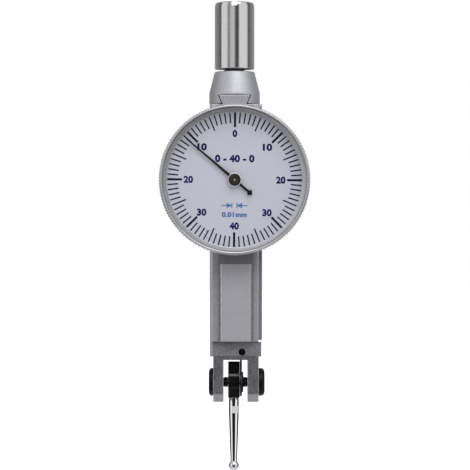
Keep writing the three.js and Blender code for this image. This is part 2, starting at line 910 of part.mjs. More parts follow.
// Crown wheel: a disc with teeth on its right face, in mesh with the centre pinion
function crownWheel() {
  const rootX = crownFaceX - dedendumShare * crownModule;
  const tipX = crownFaceX + addendumShare * crownModule;
  const teethOuter = crownRadius + crownFaceWidth / 2;
  const discX = rootX - crownDiscThickness;
  const bore = arborRadius + seatGap;
  const body = turned(
    [
      [bore, discX - crownHubLength],
      [crownHubRadius, discX - crownHubLength],
      [crownHubRadius, discX],
      [crownOuterRadius, discX],
      [crownOuterRadius, rootX],
      [bore, rootX],
    ],
    medium,
    "x",
  );
  const pitch = Math.PI * crownModule;
  const tooth = [
    [(-rootShare * pitch) / 2, rootX - crownDiscThickness / 2],
    [(-rootShare * pitch) / 2, rootX],
    [(-tipShare * pitch) / 2, tipX],
    [(tipShare * pitch) / 2, tipX],
    [(rootShare * pitch) / 2, rootX],
    [(rootShare * pitch) / 2, rootX - crownDiscThickness / 2],
  ];
  const toothPlace = new THREE.Matrix4().makeBasis(
    new THREE.Vector3(0, 1, 0),
    new THREE.Vector3(1, 0, 0),
    new THREE.Vector3(0, 0, -1),
  );
  const teeth = Array.from({ length: crownTeeth }, (_, i) =>
    extruded(tooth, crownFaceWidth)
      .applyMatrix4(toothPlace)
      .translate(0, 0, teethOuter)
      .rotateX((2 * Math.PI * (i + 1 / 2)) / crownTeeth),
  );
  return join(body, ...teeth);
}

function crownArbor() {
  const left = wallX - plateThickness + runningGap;
  const right = bridgeX + bridgeThickness;
  const middle = (leverX + leverRightX) / 2;
  const start = middle - arborPinionLength / 2;
  const teeth = toothed(pinionTeeth, arborPinionRadius, gearModule, 0);
  const pinion = prismX(teeth, start, start + arborPinionLength);
  return join(rod(arborRadius, left, right, coarse, "x"), pinion);
}

function crownBridge() {
  const margin = bridgeMargin;
  const outline = [
    [-margin, bridgeUpperRise + margin],
    [-bridgeLowerSpread - margin, -bridgeLowerDrop + margin],
    [-bridgeLowerSpread - margin, -bridgeLowerDrop - margin],
    [bridgeLowerSpread + margin, -bridgeLowerDrop - margin],
    [bridgeLowerSpread + margin, -bridgeLowerDrop + margin],
    [margin, bridgeUpperRise + margin],
  ];
  const holes = bridgePosts.map(([y, z]) => circle(bridgeScrewRadius + seatGap, coarse, y, z));
  holes.push(circle(jewelRadius + seatGap, coarse));
  return prismX(outline, bridgeX, bridgeX + bridgeThickness, holes);
}

function bridgeScrew() {
  const size = {
    radius: bridgeScrewRadius,
    headRadius: bridgeScrewHeadRadius,
    headHeight: bridgeScrewHeadHeight,
    length: bridgeScrewLength,
  };
  return screw(size, bridgeX + bridgeThickness, 1, "x");
}

// Pointer, dial, crystal and bezel
function pointerHand() {
  const root = handRootWidth / 2;
  const tip = handTipWidth / 2;
  const tail = handTailWidth / 2;
  const weight = handWeightSide / 2;
  const outline = [
    [-root, 0],
    [-tip, handReach],
    [tip, handReach],
    [root, 0],
    [tail, 0],
    [tail, -handTailReach + handWeightSide],
    [weight, -handTailReach + handWeightSide],
    [weight, -handTailReach],
    [-weight, -handTailReach],
    [-weight, -handTailReach + handWeightSide],
    [-tail, -handTailReach + handWeightSide],
    [-tail, 0],
  ];
  const angle = (-2 * Math.PI * handDivisions) / dialDivisions;
  const tongue = prismY(outline, handBackY, handY).rotateY(angle);
  const boss = rod(handBossRadius, handBackY, handY, coarse, "y");
  const hole = rod(hubNeckRadius + seatGap, handBackY + overrun, handY - overrun, coarse, "y");
  return cut(join(tongue, boss), hole);
}

function pointerHub() {
  const bore = arborRadius + seatGap;
  const dimple = hubY + hubDimpleDepth;
  const arborEnd = handY - hubHeight / 2 - seatGap;
  const outline = [
    [0, arborEnd],
    [bore, arborEnd],
    [bore, handBackY],
    [hubNeckRadius, handBackY],
    [hubNeckRadius, handY],
    [hubRadius, handY],
    [hubRadius, hubY + hubEdge],
    [hubRadius - hubEdge, hubY],
    [hubDimpleRadius, hubY],
    [0, dimple],
  ];
  return turned(outline, medium, "y");
}

function dialPlate() {
  const outer = skirtRadius - seatGap;
  return ring(dialHole / 2, outer, dialBackY, dialY, fine, "y");
}

function retainingRing() {
  const outer = skirtRadius - seatGap;
  return ring(outer - retainingRingWidth, outer, retainingRingY, dialBackY, fine, "y");
}

function bezel() {
  const root = knurlRootRadius;
  const knurlBack = bezelBackY - knurlInset;
  const knurlFront = knurlBack - knurlLength;
  const outline = [
    [skirtRadius, bezelBackY],
    [root - bezelBackChamfer, bezelBackY],
    [root, bezelBackY - bezelBackChamfer],
    [root, knurlFront],
    [bezelLipRadius, bezelFrontY],
    [crystalSeatRadius, bezelFrontY],
    [crystalSeatRadius, crystalSeatY],
    [windowRadius, crystalSeatY],
    [windowRadius, dialY],
    [skirtRadius, dialY],
  ];
  const teeth = Array.from({ length: knurlTeeth }, (_, i) => {
    const angle = (2 * Math.PI * i) / knurlTeeth;
    const half = Math.PI / knurlTeeth;
    return [
      [knurlRadius * Math.sin(angle), knurlRadius * Math.cos(angle)],
      [root * Math.sin(angle + half), root * Math.cos(angle + half)],
    ];
  }).flat();
  const hole = rod(crystalSeatRadius + seatGap, knurlBack + overrun, knurlFront - overrun, fine, "y");
  const knurl = cut(prismY(teeth, knurlBack, knurlFront), hole);
  return join(turned(outline, fine, "y"), knurl);
}

function crystal() {
  const outer = crystalSeatRadius - seatGap;
  const edgeY = crystalSeatY - crystalEdge;
  const bevelY = edgeY - crystalBevel;
  const outline = [
    [0, crystalSeatY],
    [outer, crystalSeatY],
    [outer, edgeY],
    [outer - crystalBevel, bevelY],
    [0, bevelY - crystalCrown],
  ];
  return turned(outline, fine, "y");
}

// A split wire ring in the spigot's groove that holds the bezel by friction
function frictionRing() {
  const outer = spigotRadius + bezelRunningGap / 2;
  const inner = spigotRadius - frictionGrooveDepth + seatGap;
  const from = frictionRingGap / 2 - 90;
  const to = 270 - frictionRingGap / 2;
  const outline = [...arc(0, 0, outer, from, to, fine), ...arc(0, 0, inner, to, from, fine)];
  const back = grooveY - seatGap;
  return prismY(outline, back, grooveY - frictionGrooveWidth + seatGap);
}

// Pivot, about the stylus's axis of swing
function pivotScrew(face, out, height) {
  const at = (distance) => face + out * distance;
  const length = (out > 0 ? forkRightX - slotRightX : slotLeftX - forkLeftX) - bearingLength - stackGap;
  const shank = pivotBoreRadius;
  const outline = [
    [0, at(-length)],
    [shank, at(-length)],
    [shank, at(0)],
    [pivotHeadRadius, at(0)],
    [pivotHeadRadius, at(height * pivotHeadSideShare)],
    [pivotHeadRadius * pivotHeadTopShare, at(height)],
    [0, at(height)],
  ];
  const half = pivotSlotWidth / 2;
  const reach = pivotHeadRadius + overrun;
  const ends = [at(height - pivotSlotDepth), at(height + overrun)].sort((a, b) => a - b);
  const slot = block(ends[0], ends[1], -reach, reach, -half, half);
  return cut(turned(outline, medium, "x"), slot);
}

function bearing(from) {
  return ring(axleRadius + runningGap, pivotBoreRadius, from, from + bearingLength, medium, "x");
}

function pivotAxle() {
  const left = slotLeftX - bearingLength + axleEndGap;
  const right = slotRightX + bearingLength - axleEndGap;
  return rod(axleRadius, left, right, medium, "x");
}

function spacer(from, to) {
  const bore = axleRadius + seatGap;
  const edge = spacerEdge;
  const outline = [
    [bore, from],
    [spacerRadius - edge, from],
    [spacerRadius, from + edge],
    [spacerRadius, to - edge],
    [spacerRadius - edge, to],
    [bore, to],
  ];
  return turned(outline, medium, "x");
}

// Lever: a flat plate with a gear sector at its top, in mesh with the crown arbor's pinion
function sectorLever() {
  const pitch = (2 * Math.PI) / sectorTeethPerTurn;
  const root = sectorRadius - dedendumShare * gearModule;
  const tip = sectorRadius + addendumShare * gearModule;
  const at = (radius, angle) => [radius * Math.sin(angle), radius * Math.cos(angle)];
  const teeth = Array.from({ length: sectorTeeth }, (_, i) => {
    const middle = (i - (sectorTeeth - 1) / 2) * pitch;
    return [
      at(root, middle - (rootShare * pitch) / 2),
      at(tip, middle - (tipShare * pitch) / 2),
      at(tip, middle + (tipShare * pitch) / 2),
      at(root, middle + (rootShare * pitch) / 2),
    ];
  }).flat();
  const edge = (sectorTeeth * pitch) / 2;
  const lower = sectorRadius - sectorDepth;
  const neck = sectorRadius - leverNeckDrop;
  const lobeAngle = THREE.MathUtils.radToDeg(Math.asin(leverHalfWidth / leverLobeRadius));
  const outline = [
    ...arc(0, 0, leverLobeRadius, 90 + lobeAngle, 450 - lobeAngle, coarse),
    [leverHalfWidth, leverWaistRise],
    [leverNeckHalfWidth, neck],
    at(lower, edge),
    at(root, edge),
    ...teeth.reverse(),
    at(root, -edge),
    at(lower, -edge),
    [-leverNeckHalfWidth, neck],
    [-leverHalfWidth, leverWaistRise],
  ];
  const bore = circle(axleRadius + seatGap, medium);
  return prismX(outline, leverX, leverRightX, [bore]);
}

function frictionWasher() {
  return ring(axleRadius + seatGap, washerRadius, washerX, washerX + washerThickness, medium, "x");
}

// Stylus: a carrier gripped on the axle, a tapered shank and a ball
function stylusCarrier() {
  const tail = carrierTailHalf;
  const top = carrierTailRise;
  const chamfer = carrierTailChamfer;
  const nose = carrierNoseHalf;
  const tailBlock = [
    [-tail, 0],
    [tail, 0],
    [tail, top - chamfer],
    [tail - chamfer, top],
    [-tail + chamfer, top],
    [-tail, top - chamfer],
  ];
  const noseBlock = [
    [-nose, -carrierNoseDrop],
    [nose, -carrierNoseDrop],
    [nose, 0],
    [-nose, 0],
  ];
  const body = join(
    rod(carrierHubRadius, carrierLeftX, carrierRightX, medium, "x"),
    prismX(tailBlock, carrierLeftX, carrierRightX),
    prismX(noseBlock, carrierLeftX, carrierRightX),
  );
  const bore = rod(axleRadius + runningGap, carrierLeftX - overrun, carrierRightX + overrun, medium, "x");
  const socketTop = -carrierNoseDrop + stylusThreadLength;
  const socket = rod(
    stylusThreadRadius + seatGap,
    -carrierNoseDrop - overrun,
    socketTop,
    medium,
    "z",
  ).translate(stylusOffset, 0, 0);
  return cut(body, bore, socket);
}

const ballJoinDrop = leverLength - Math.sqrt(ballRadius ** 2 - stylusTipRadius ** 2);

function stylusShank() {
  const top = -carrierNoseDrop;
  const shoulder = top - stylusShoulder;
  const outline = [
    [0, -ballJoinDrop],
    [stylusTipRadius, -ballJoinDrop],
    [stylusRadius, shoulder],
    [stylusRadius, top],
    [stylusThreadRadius, top],
    [stylusThreadRadius, top + stylusThreadLength - seatGap],
    [0, top + stylusThreadLength - seatGap],
  ];
  const reach = stylusRadius + overrun;
  const flatTop = top - flatStart;
  const flats = [-1, 1].map((side) => {
    const ends = [side * (stylusRadius - flatDepth), side * reach].sort((a, b) => a - b);
    return block(-reach, reach, ends[0], ends[1], flatTop - flatLength, flatTop);
  });
  return cut(turned(outline, medium, "z"), ...flats).translate(stylusOffset, 0, 0);
}

function stylusBall() {
  const joinAngle = THREE.MathUtils.radToDeg(Math.acos(stylusTipRadius / ballRadius));
  const curve = arc(0, -leverLength, ballRadius, -90, joinAngle, ballRings);
  curve[0][0] = 0;
  curve[ballRings] = [stylusTipRadius, -ballJoinDrop];
  return turned([...curve, [0, -ballJoinDrop]], medium, "z").translate(stylusOffset, 0, 0);
}

// Assembly
piece(stemGroup, "stem_barrel", stemBarrel(), brightSteel);
piece(stemGroup, "clamp_stud", clampStud(), blackSteel);
piece(stemGroup, "dovetail_clamp", dovetailClamp(), satinChrome);

piece(caseGroup, "main_frame", mainFrame(), satinChrome);
piece(caseGroup, "side_cover", sideCover(), blastedSteel);
coverScrewSpots.forEach(([y, z], i) => {
  piece(caseGroup, "side_cover_screw_" + (i + 1), coverScrew().translate(0, y, z), blackSteel);
});
piece(caseGroup, "travel_stop_front", stopScrew(-1).translate(stopX, 0, stopZ), blackSteel);
piece(caseGroup, "travel_stop_rear", stopScrew(1).translate(stopX, 0, stopZ), blackSteel);
piece(caseGroup, "return_spring", returnSpring(), blueSteel);

piece(dialGroup, "movement_plate_rear", movementPlate(floorY, rearPlateY), brass);
piece(dialGroup, "movement_plate_front", movementPlate(frontPlateBackY, frontPlateY), brass);
pillarSpots.forEach(([x, z], i) => {
  const pillar = ring(
    pillarScrewRadius + seatGap,
    pillarRadius,
    rearPlateY,
    frontPlateBackY,
    coarse,
    "y",
  );
  piece(dialGroup, "movement_pillar_" + (i + 1), pillar.translate(x, 0, z), brass);
  piece(dialGroup, "movement_pillar_screw_" + (i + 1), pillarScrew().translate(x, 0, z), brightSteel);
});
piece(dialGroup, "centre_jewel_rear", jewel(floorY, rearPlateY, "y"), ruby);
piece(dialGroup, "centre_jewel_front", jewel(frontPlateBackY, frontPlateY, "y"), ruby);
piece(dialGroup, "centre_arbor", centreArbor(), brightSteel);
const collet = ring(
  arborRadius + seatGap,
  colletRadius,
  colletBackY,
  colletBackY - colletLength,
  coarse,
  "y",
);
piece(dialGroup, "hairspring_collet", collet, brass);
piece(dialGroup, "hairspring", hairspring(), blueSteel);
piece(dialGroup, "hairspring_stud", hairspringStud(), brass);
piece(dialGroup, "crown_wheel", crownWheel(), brass);
piece(dialGroup, "crown_arbor", crownArbor(), brightSteel);
piece(dialGroup, "crown_bridge", crownBridge(), brass);
bridgePosts.forEach(([y, z], i) => {
  piece(dialGroup, "crown_bridge_screw_" + (i + 1), bridgeScrew().translate(0, y, z), brightSteel);
});
piece(dialGroup, "crown_jewel_left", jewel(wallX - plateThickness, wallX, "x"), ruby);
piece(dialGroup, "crown_jewel_right", jewel(bridgeX, bridgeX + bridgeThickness, "x"), ruby);
piece(dialGroup, "pointer_hand", pointerHand(), handPaint);
piece(dialGroup, "pointer_hub", pointerHub(), hubMetal);
piece(dialGroup, "dial_plate", dialPlate(), dialPaint);
piece(dialGroup, "dial_retaining_ring", retainingRing(), brightSteel);
piece(dialGroup, "bezel_friction_ring", frictionRing(), brightSteel);
piece(dialGroup, "bezel", bezel(), satinChrome);
piece(dialGroup, "crystal", crystal(), clearPlastic);

piece(pivotGroup, "pivot_screw_left", pivotScrew(forkLeftX, -1, pivotHeadLeft), blackSteel);
piece(pivotGroup, "pivot_screw_right", pivotScrew(forkRightX, 1, pivotHeadRight), blackSteel);
piece(pivotGroup, "pivot_bearing_left", bearing(slotLeftX - bearingLength), brightSteel);
piece(pivotGroup, "pivot_bearing_right", bearing(slotRightX), brightSteel);
piece(pivotGroup, "pivot_axle", pivotAxle(), brightSteel);
piece(pivotGroup, "pivot_spacer_left", spacer(slotLeftX + stackGap, carrierLeftX - stackGap), blackSteel);
piece(pivotGroup, "pivot_spacer_right", spacer(spacerRightX, slotRightX - stackGap), blackSteel);
piece(pivotGroup, "sector_lever", sectorLever(), blackSteel);
piece(pivotGroup, "friction_washer", frictionWasher(), blackSteel);
piece(pivotGroup, "stylus_carrier", stylusCarrier(), blackSteel);
piece(pivotGroup, "stylus_shank", stylusShank(), polishedSteel);
piece(pivotGroup, "stylus_ball", stylusBall(), carbide);

console.log("hairspring: least gap between turns " + hairspringGap().toFixed(2) + " mm");

export default indicator;
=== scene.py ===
"""The looks of a lever-type dial test indicator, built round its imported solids."""

import json
import math

import bmesh
import bpy
from bpy.props import FloatProperty, FloatVectorProperty, IntProperty, PointerProperty, StringProperty
from mathutils import Matrix, Vector

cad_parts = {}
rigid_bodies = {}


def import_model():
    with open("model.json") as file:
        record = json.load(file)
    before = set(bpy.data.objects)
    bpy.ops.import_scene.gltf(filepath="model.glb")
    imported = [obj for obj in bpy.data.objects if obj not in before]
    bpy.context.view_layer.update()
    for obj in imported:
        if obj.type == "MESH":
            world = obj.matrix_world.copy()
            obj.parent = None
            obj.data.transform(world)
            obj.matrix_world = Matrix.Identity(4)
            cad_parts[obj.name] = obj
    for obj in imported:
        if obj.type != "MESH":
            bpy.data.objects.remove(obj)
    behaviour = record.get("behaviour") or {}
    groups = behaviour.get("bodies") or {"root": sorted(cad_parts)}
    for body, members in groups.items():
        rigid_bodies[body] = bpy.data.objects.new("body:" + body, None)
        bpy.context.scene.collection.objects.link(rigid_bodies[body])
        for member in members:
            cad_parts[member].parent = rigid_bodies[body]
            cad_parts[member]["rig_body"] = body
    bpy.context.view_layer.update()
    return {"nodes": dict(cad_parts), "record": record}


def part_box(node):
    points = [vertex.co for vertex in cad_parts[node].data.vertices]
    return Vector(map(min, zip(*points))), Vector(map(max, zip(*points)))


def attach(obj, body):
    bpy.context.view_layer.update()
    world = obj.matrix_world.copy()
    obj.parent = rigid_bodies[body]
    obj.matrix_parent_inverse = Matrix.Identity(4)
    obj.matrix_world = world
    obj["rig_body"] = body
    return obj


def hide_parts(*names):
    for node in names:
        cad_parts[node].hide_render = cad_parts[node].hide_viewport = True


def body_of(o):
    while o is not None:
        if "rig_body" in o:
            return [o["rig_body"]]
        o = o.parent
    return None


bl_info = {
    "name": "Dial Test Indicator",
    "version": (1, 0, 0),
    "blender": (4, 5, 0),
    "location": "View3D > Sidebar > Indicator",
    "description": "Adds the pieces of a lever-type dial test indicator round its solids",
    "category": "Object",
}

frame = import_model()

MM = 0.001
TINY = 0.01 * MM  # how far a piece stands off its neighbour where only paint or a fit divides them
OVERRUN = 1 * MM  # how far a cutting shape runs past what it cuts
NOTHING = 0.0005 * MM  # an edge shorter than this is left out
SAME_POINT = 1e-8  # corners closer than this, in metres, are one
NEARLY_STRAIGHT = math.radians(150)  # flatter corners aren't rounded

# Fine sizes that a user would leave alone
COVER_SCREW_EDGE = 0.04 * MM
COVER_SCREW_RIM = 0.05 * MM  # cylindrical part of a countersunk head
STOP_HOLE_CHAMFER = 0.12 * MM
STOP_EDGE = 0.1 * MM
STOP_TIP = 0.4 * MM  # cone at the end of a travel stop
STOP_SLOT_WIDTH = 0.26 * MM
STOP_SLOT_DEPTH = 0.4 * MM
PIVOT_HEAD_EDGE = 0.06 * MM
PIVOT_SLOT_EDGE = 0.03 * MM
DIAL_HOLE = 0.9 * MM  # radius round the centre arbor
DIAL_EDGE = 0.05 * MM
HUB_CORNER = 0.05 * MM
SHANK_EDGE = 0.08 * MM
SHANK_LAND = 0.1 * MM  # straight part of the shank at the carrier
FLAT_EDGE = 0.02 * MM
BRAZE_WIDTH = 0.03 * MM  # ring of braze round the shank's tip
BRAZE_HEIGHT = 0.05 * MM
SMEAR = 4 * MM  # size of the faint smears on the crystal
FLOOR_GRAIN = 2 * MM

# Degrees by which screwdriver slots are turned, as the screws were left
COVER_SCREW_TURNS = (20, -35, 75, 10)
LEFT_SCREW_TURN = 24
RIGHT_SCREW_TURN = -52

# Shares of the sizes that small forms follow
CORNER_SHARE = 0.45  # of a side, which a rounded corner takes at most
RIM_SHARE = 0.8  # of an edge's radius, at the ends of a block
DEDENDUM_SHARE = 1.25  # of the module, from the pitch line to a tooth's root
TOOTH_ROOT_SHARE = 0.36  # of the pitch, half a tooth's width at its root
TOOTH_TIP_SHARE = 0.14
STOP_SHARE = 0.95  # of its solid's radius, for a travel stop
STOP_TIP_SHARE = 0.5  # of a travel stop's radius, at its tip
ARROW_SHARE = 0.5  # of the digits' height, half an arrow's height
ARROW_LINE_SHARE = 0.2  # of that, half the thickness of an arrow's line
ARROW_BAR_SHARE = 1.8  # of the line's half thickness, for the bar at its point
ARROW_HEAD_SHARE = 1.8  # of half an arrow's height, for the length of its head

# The lamp above the camera, in metres and radians
LAMP_SIZE = 0.5
LAMP_DISTANCE = 0.65  # from the dial
LAMP_TURN = math.radians(12)  # to the right of the camera
LAMP_RISE = math.radians(48)


# Sizes and colours that a user would change
def length(name, millimetres, description):
    value = millimetres * MM
    return FloatProperty(name=name, default=value, unit="LENGTH", precision=5, description=description)


def share(name, value, description):
    return FloatProperty(name=name, default=value, min=0, max=1, subtype="FACTOR", description=description)


def angle(name, degrees, description):
    return FloatProperty(name=name, default=math.radians(degrees), subtype="ANGLE", description=description)


def colour(name, value, description):
    return FloatVectorProperty(
        name=name, default=value, size=3, min=0, max=1, subtype="COLOR", description=description
    )


class FinishSettings(bpy.types.PropertyGroup):
    satin: colour("Satin chrome", (0.49, 0.49, 0.53), "Frame and clamp")
    bezel: colour("Bezel chrome", (0.75, 0.75, 0.78), "Bezel")
    # Bare metal on worn edges, which also paints the highlights along edges
    bare_and_highlight: colour("Bare metal", (0.9, 0.9, 0.9), "Edges that wear has polished")
    blasted: colour("Blasted steel", (0.28, 0.28, 0.3), "Fork and side cover")
    turned: colour("Turned steel", (0.62, 0.61, 0.62), "Stem")
    polished: colour("Polished steel", (0.86, 0.86, 0.87), "Stylus shank")
    carbide: colour("Carbide", (0.8, 0.8, 0.83), "Stylus ball")
    black: colour("Black oxide", (0.005, 0.005, 0.005), "Pivot screws, carrier and lever")
    brass: colour("Brass", (0.56, 0.37, 0.14), "Movement plates and wheels")
    blued: colour("Blued steel", (0.03, 0.06, 0.2), "Springs")
    ruby: colour("Ruby", (0.45, 0.01, 0.05), "Jewels")
    paint: colour("Dial paint", (0.505, 0.508, 0.59), "Face of the dial")
    graduation_ink: colour("Graduation ink", (0.006, 0.006, 0.022), "Graduation lines")
    number_ink: colour("Number ink", (0.003, 0.004, 0.085), "Numbers round the dial")
    pale_ink: colour("Pale ink", (0.06, 0.15, 0.36), "Small marks in the middle of the dial")
    lacquer: colour("Hand lacquer", (0.006, 0.006, 0.008), "Pointer hand")
    hub: colour("Hub plating", (0.062, 0.058, 0.048), "Face of the pointer hub")
    # The rim's bright colour is partly a painted highlight round the hub's edge
    hub_rim: colour("Hub rim", (0.96, 0.96, 0.94), "Turned rim of the pointer hub")
    # The punch mark's colour is a painted glint
    hub_mark: colour("Hub mark", (0.26, 0.26, 0.23), "Punch mark in the pointer hub")
    grain: length("Grain", 0.2, "Size of the grains in the satin and blasted finishes")


class StemSettings(bpy.types.PropertyGroup):
    top_chamfer_height: length("Top chamfer height", 0.9, "Along the stem")
    top_chamfer_depth: length("Top chamfer depth", 0.14, "Across the stem")
    crown_height: length("Crown height", 0.22, "Flat slope above the chamfer, along the stem")
    crown_depth: length("Crown depth", 0.5, "Flat slope above the chamfer, across the stem")
    bottom_chamfer: length("Bottom chamfer", 0.13, "At the stem's lower end")
    clearance: length("Clearance", 0.16, "Top and bottom faces inside the solid's ends")
    edge: length("Edge", 0.06, "Radius of the stem's broken edges")
    slot_width: length("Slot width", 0.85, "Screwdriver slot across the top")
    slot_depth: length("Slot depth", 0.85, "Screwdriver slot across the top")
    thread_pitch: length("Thread pitch", 0.5, "Thread of the clamp stud")
    thread_depth: length("Thread depth", 0.16, "Thread of the clamp stud")
    tip_chamfer: length("Tip chamfer", 0.4, "Lower end of the clamp stud")


class ClampSettings(bpy.types.PropertyGroup):
    top_diameter: length("Top diameter", 8, "Narrow end of the cone")
    cone_height: length("Cone height", 4.35, "From the clamp's top down to its cylindrical part")
    edge: length("Edge", 0.4, "Radius of the clamp's upper and lower edges")
    slide_gap: length("Slide gap", 0.12, "Between the clamp and its dovetail")
    flank_gap: length("Flank gap", 0.24, "Between the flanks at both ends of the groove")
    gap_start: length("Gap start", 3.2, "From the middle to where the flank gap widens")
    mouth_edge: length("Mouth edge", 0.08, "Bevel round the dovetail's opening")
    stud_gap: length("Stud gap", 0.06, "Between the stud and its bore, on the radius")


class FrameSettings(bpy.types.PropertyGroup):
    left: length("Left face", -4.95, "Arm's left face, from the stem's axis")
    depth: length("Depth", 11, "Arm, front to rear")
    wall: length("Wall", 0.85, "Front and rear walls of the arm")
    side_wall: length("Side wall", 1, "Left wall of the arm")
    edge: length("Edge", 0.5, "Chamfer along the arm's left edges")
    broken_edge: length("Broken edge", 0.09, "Radius of the sharp edges")
    tail_edge: length("Dovetail edge", 0.17, "Radius of the edges of the front and rear dovetails")
    dovetail_angle: angle("Dovetail angle", 24, "From the face's normal")
    fork_end_drop: length("Fork end drop", 2.45, "From the pivot down to the milled ends of the fork")
    end_dovetail_width: length("End dovetail width", 6.3, "Under the clamp")
    end_dovetail_height: length("End dovetail height", 1.85, "Under the clamp")
    side_dovetail_width: length("Side dovetail width", 6.4, "On the front and rear faces")
    side_dovetail_height: length("Side dovetail height", 1.5, "On the front and rear faces")
    front_dovetail_length: length("Front dovetail length", 15.5, "Below the dial")
    rear_dovetail_length: length("Rear dovetail length", 40, "On the rear face")
    head_rise: length("Head rise", 8.35, "From the pivot up to the foot of the dovetails")
    shoulder_rise: length("Shoulder rise", 5.35, "From the pivot up to the fork's shoulders")
    slot_rise: length("Slot rise", 4.65, "From the pivot up to the fork's slot")
    fork_chamfer: length("Fork chamfer", 1.7, "Corners of the fork's ends")
    slot_chamfer: length("Slot chamfer", 0.15, "Long edges of the fork's slot")
    fork_left: length("Fork left", -4.3, "Left face of the fork")
    fork_right: length("Fork right", 4.85, "Right face of the fork")
    slot_left: length("Slot left", -2.25, "Left face of the fork's slot")
    slot_right: length("Slot right", 2.6, "Right face of the fork's slot")
    head_half: length("Head half depth", 4.7, "From the middle to the fork's front face")
    head_inset: length("Head inset", 0.13, "The fork head's right face behind the cover's")
    relief_drop: length("Relief drop", 0.7, "By which the head's top falls to the rear under the cover's end")
    top_wall: length("Top wall", 3, "Above the cavity")
    bottom_wall: length("Bottom wall", 2.7, "Below the cavity")
    channel_gap: length("Channel gap", 0.3, "Between the lever's faces and its channel")
    channel_half: length("Channel half depth", 2.1, "The lever's channel through the fork head")
    opening_radius: length("Opening", 1.6, "Radius of the opening behind the movement")


class CoverSettings(bpy.types.PropertyGroup):
    corner: length("Corner", 0.4, "Radius of the cover's corners")
    edge: length("Edge", 0.1, "Radius of the cover's outer edge")
    end_gap: length("End gap", 0.14, "Lower end of the cover, above the solid's end")
    head_height: length("Head height", 0.5, "Countersunk screw heads")
    shank_radius: length("Shank radius", 0.6, "Cover screws")
    slot_width: length("Slot width", 0.3, "Screwdriver slots")
    slot_depth: length("Slot depth", 0.25, "Screwdriver slots")


class HousingSettings(bpy.types.PropertyGroup):
    edge: length("Edge", 0.4, "Rear edge of the housing")
    shoulder: length("Shoulder", 2.8, "From the arm's face to the housing's shoulder")
    floor: length("Floor", 0.8, "Thickness of the housing's floor")
    bore_radius: length("Bore radius", 11.6, "Room for the movement")
    spigot_radius: length("Spigot radius", 13.75, "What the bezel turns on")
    spigot_front: length("Spigot front", 4, "From the arm's face to the spigot's front")
    groove_start: length("Groove start", 0.5, "From the shoulder to the friction ring's groove")
    groove_width: length("Groove width", 0.4, "Friction ring's groove")
    groove_depth: length("Groove depth", 0.35, "Friction ring's groove")


class BezelSettings(bpy.types.PropertyGroup):
    teeth: IntProperty(name="Knurl teeth", default=154, min=12, description="Straight teeth round the bezel")
    knurl_depth: length("Knurl depth", 0.22, "From a tooth's tip to its root")
    knurl_inset: length("Knurl inset", 0.35, "From the bezel's back to the knurl")
    knurl_length: length("Knurl length", 3.3, "Along the bezel's axis")
    run_out: length("Knurl run-out", 0.3, "Over which a tooth rises to its full depth")
    back_chamfer: length("Back chamfer", 0.25, "Rear edge of the bezel")
    skirt_radius: length("Skirt radius", 13.85, "Bore that turns on the spigot")
    lip_radius: length("Lip radius", 14.64, "Outer edge of the front lip")
    lip_bore: length("Lip bore", 14.34, "Inner edge of the front lip")
    lip_edge: length("Lip edge", 0.12, "Radius of the front lip's edges")
    window_radius: length("Window radius", 13.4, "Opening over the dial")
    window_edge: length("Window edge", 0.05, "Radius of the edge round the window")
    relief_inner: length("Relief", 14.1, "Inner radius of the groove that clears the crystal's corner")
    relief_depth: length("Relief depth", 0.4, "Depth of that groove")
    funnel_depth: length("Funnel depth", 0.025, "Slope of the ring between the crystal's seat and the window")


class CrystalSettings(bpy.types.PropertyGroup):
    edge: length("Edge", 0.5, "Height of the crystal's cylindrical edge")
    bevel: length("Bevel", 0.55, "Bevel round the crystal's front")
    refraction: FloatProperty(name="Refractive index", default=1.24, min=1, description="Coated plastic")


class DialSettings(bpy.types.PropertyGroup):
    divisions: IntProperty(name="Divisions", default=80, min=4, description="In one turn of the hand")
    turn: angle("Turn", 0.45, "Clockwise, as the bezel was left")
    step: IntProperty(name="Numbered step", default=10, min=1, description="Divisions between two numbers")
    outer: length("Outer end", 13.33, "Radius of the graduations' outer ends")
    minor_inner: length("Minor inner end", 11.2, "Radius of the short graduations' inner ends")
    major_inner: length("Major inner end", 10.4, "Radius of the long graduations' inner ends")
    minor_width: length("Minor width", 0.28, "Width of most graduations")
    major_width: length("Major width", 0.45, "Width of the numbered graduations")
    number_radius: length("Number radius", 9.15, "Radius of the circle of numbers")
    number_height: length("Number height", 1.44, "Height of a digit")
    digit_width: length("Digit width", 0.93, "Width of a digit with its space")
    ink: length("Ink", 0.012, "Thickness of the print")
    range_text: StringProperty(name="Range", default="0 - 40 - 0", description="Plain numbers above the hub")
    range_height: length("Range height", 1.5, "Height of the range's digits")
    range_width: length("Range width", 7.8, "Width of the range")
    range_rise: length("Range rise", 4.2, "Above the dial's centre")
    value_text: StringProperty(name="Value", default="0.01mm", description="Value of one division")
    value_height: length("Value height", 1.05, "Height of the value's digits")
    value_width: length("Value width", 5, "Width of the value")
    value_drop: length("Value drop", 6.9, "Below the dial's centre")
    arrow_drop: length("Arrow drop", 5.1, "Below the dial's centre")
    arrow_start: length("Arrow start", 2.6, "From the middle to an arrow's tail")
    arrow_end: length("Arrow end", 0.4, "From the middle to the bar at an arrow's point")


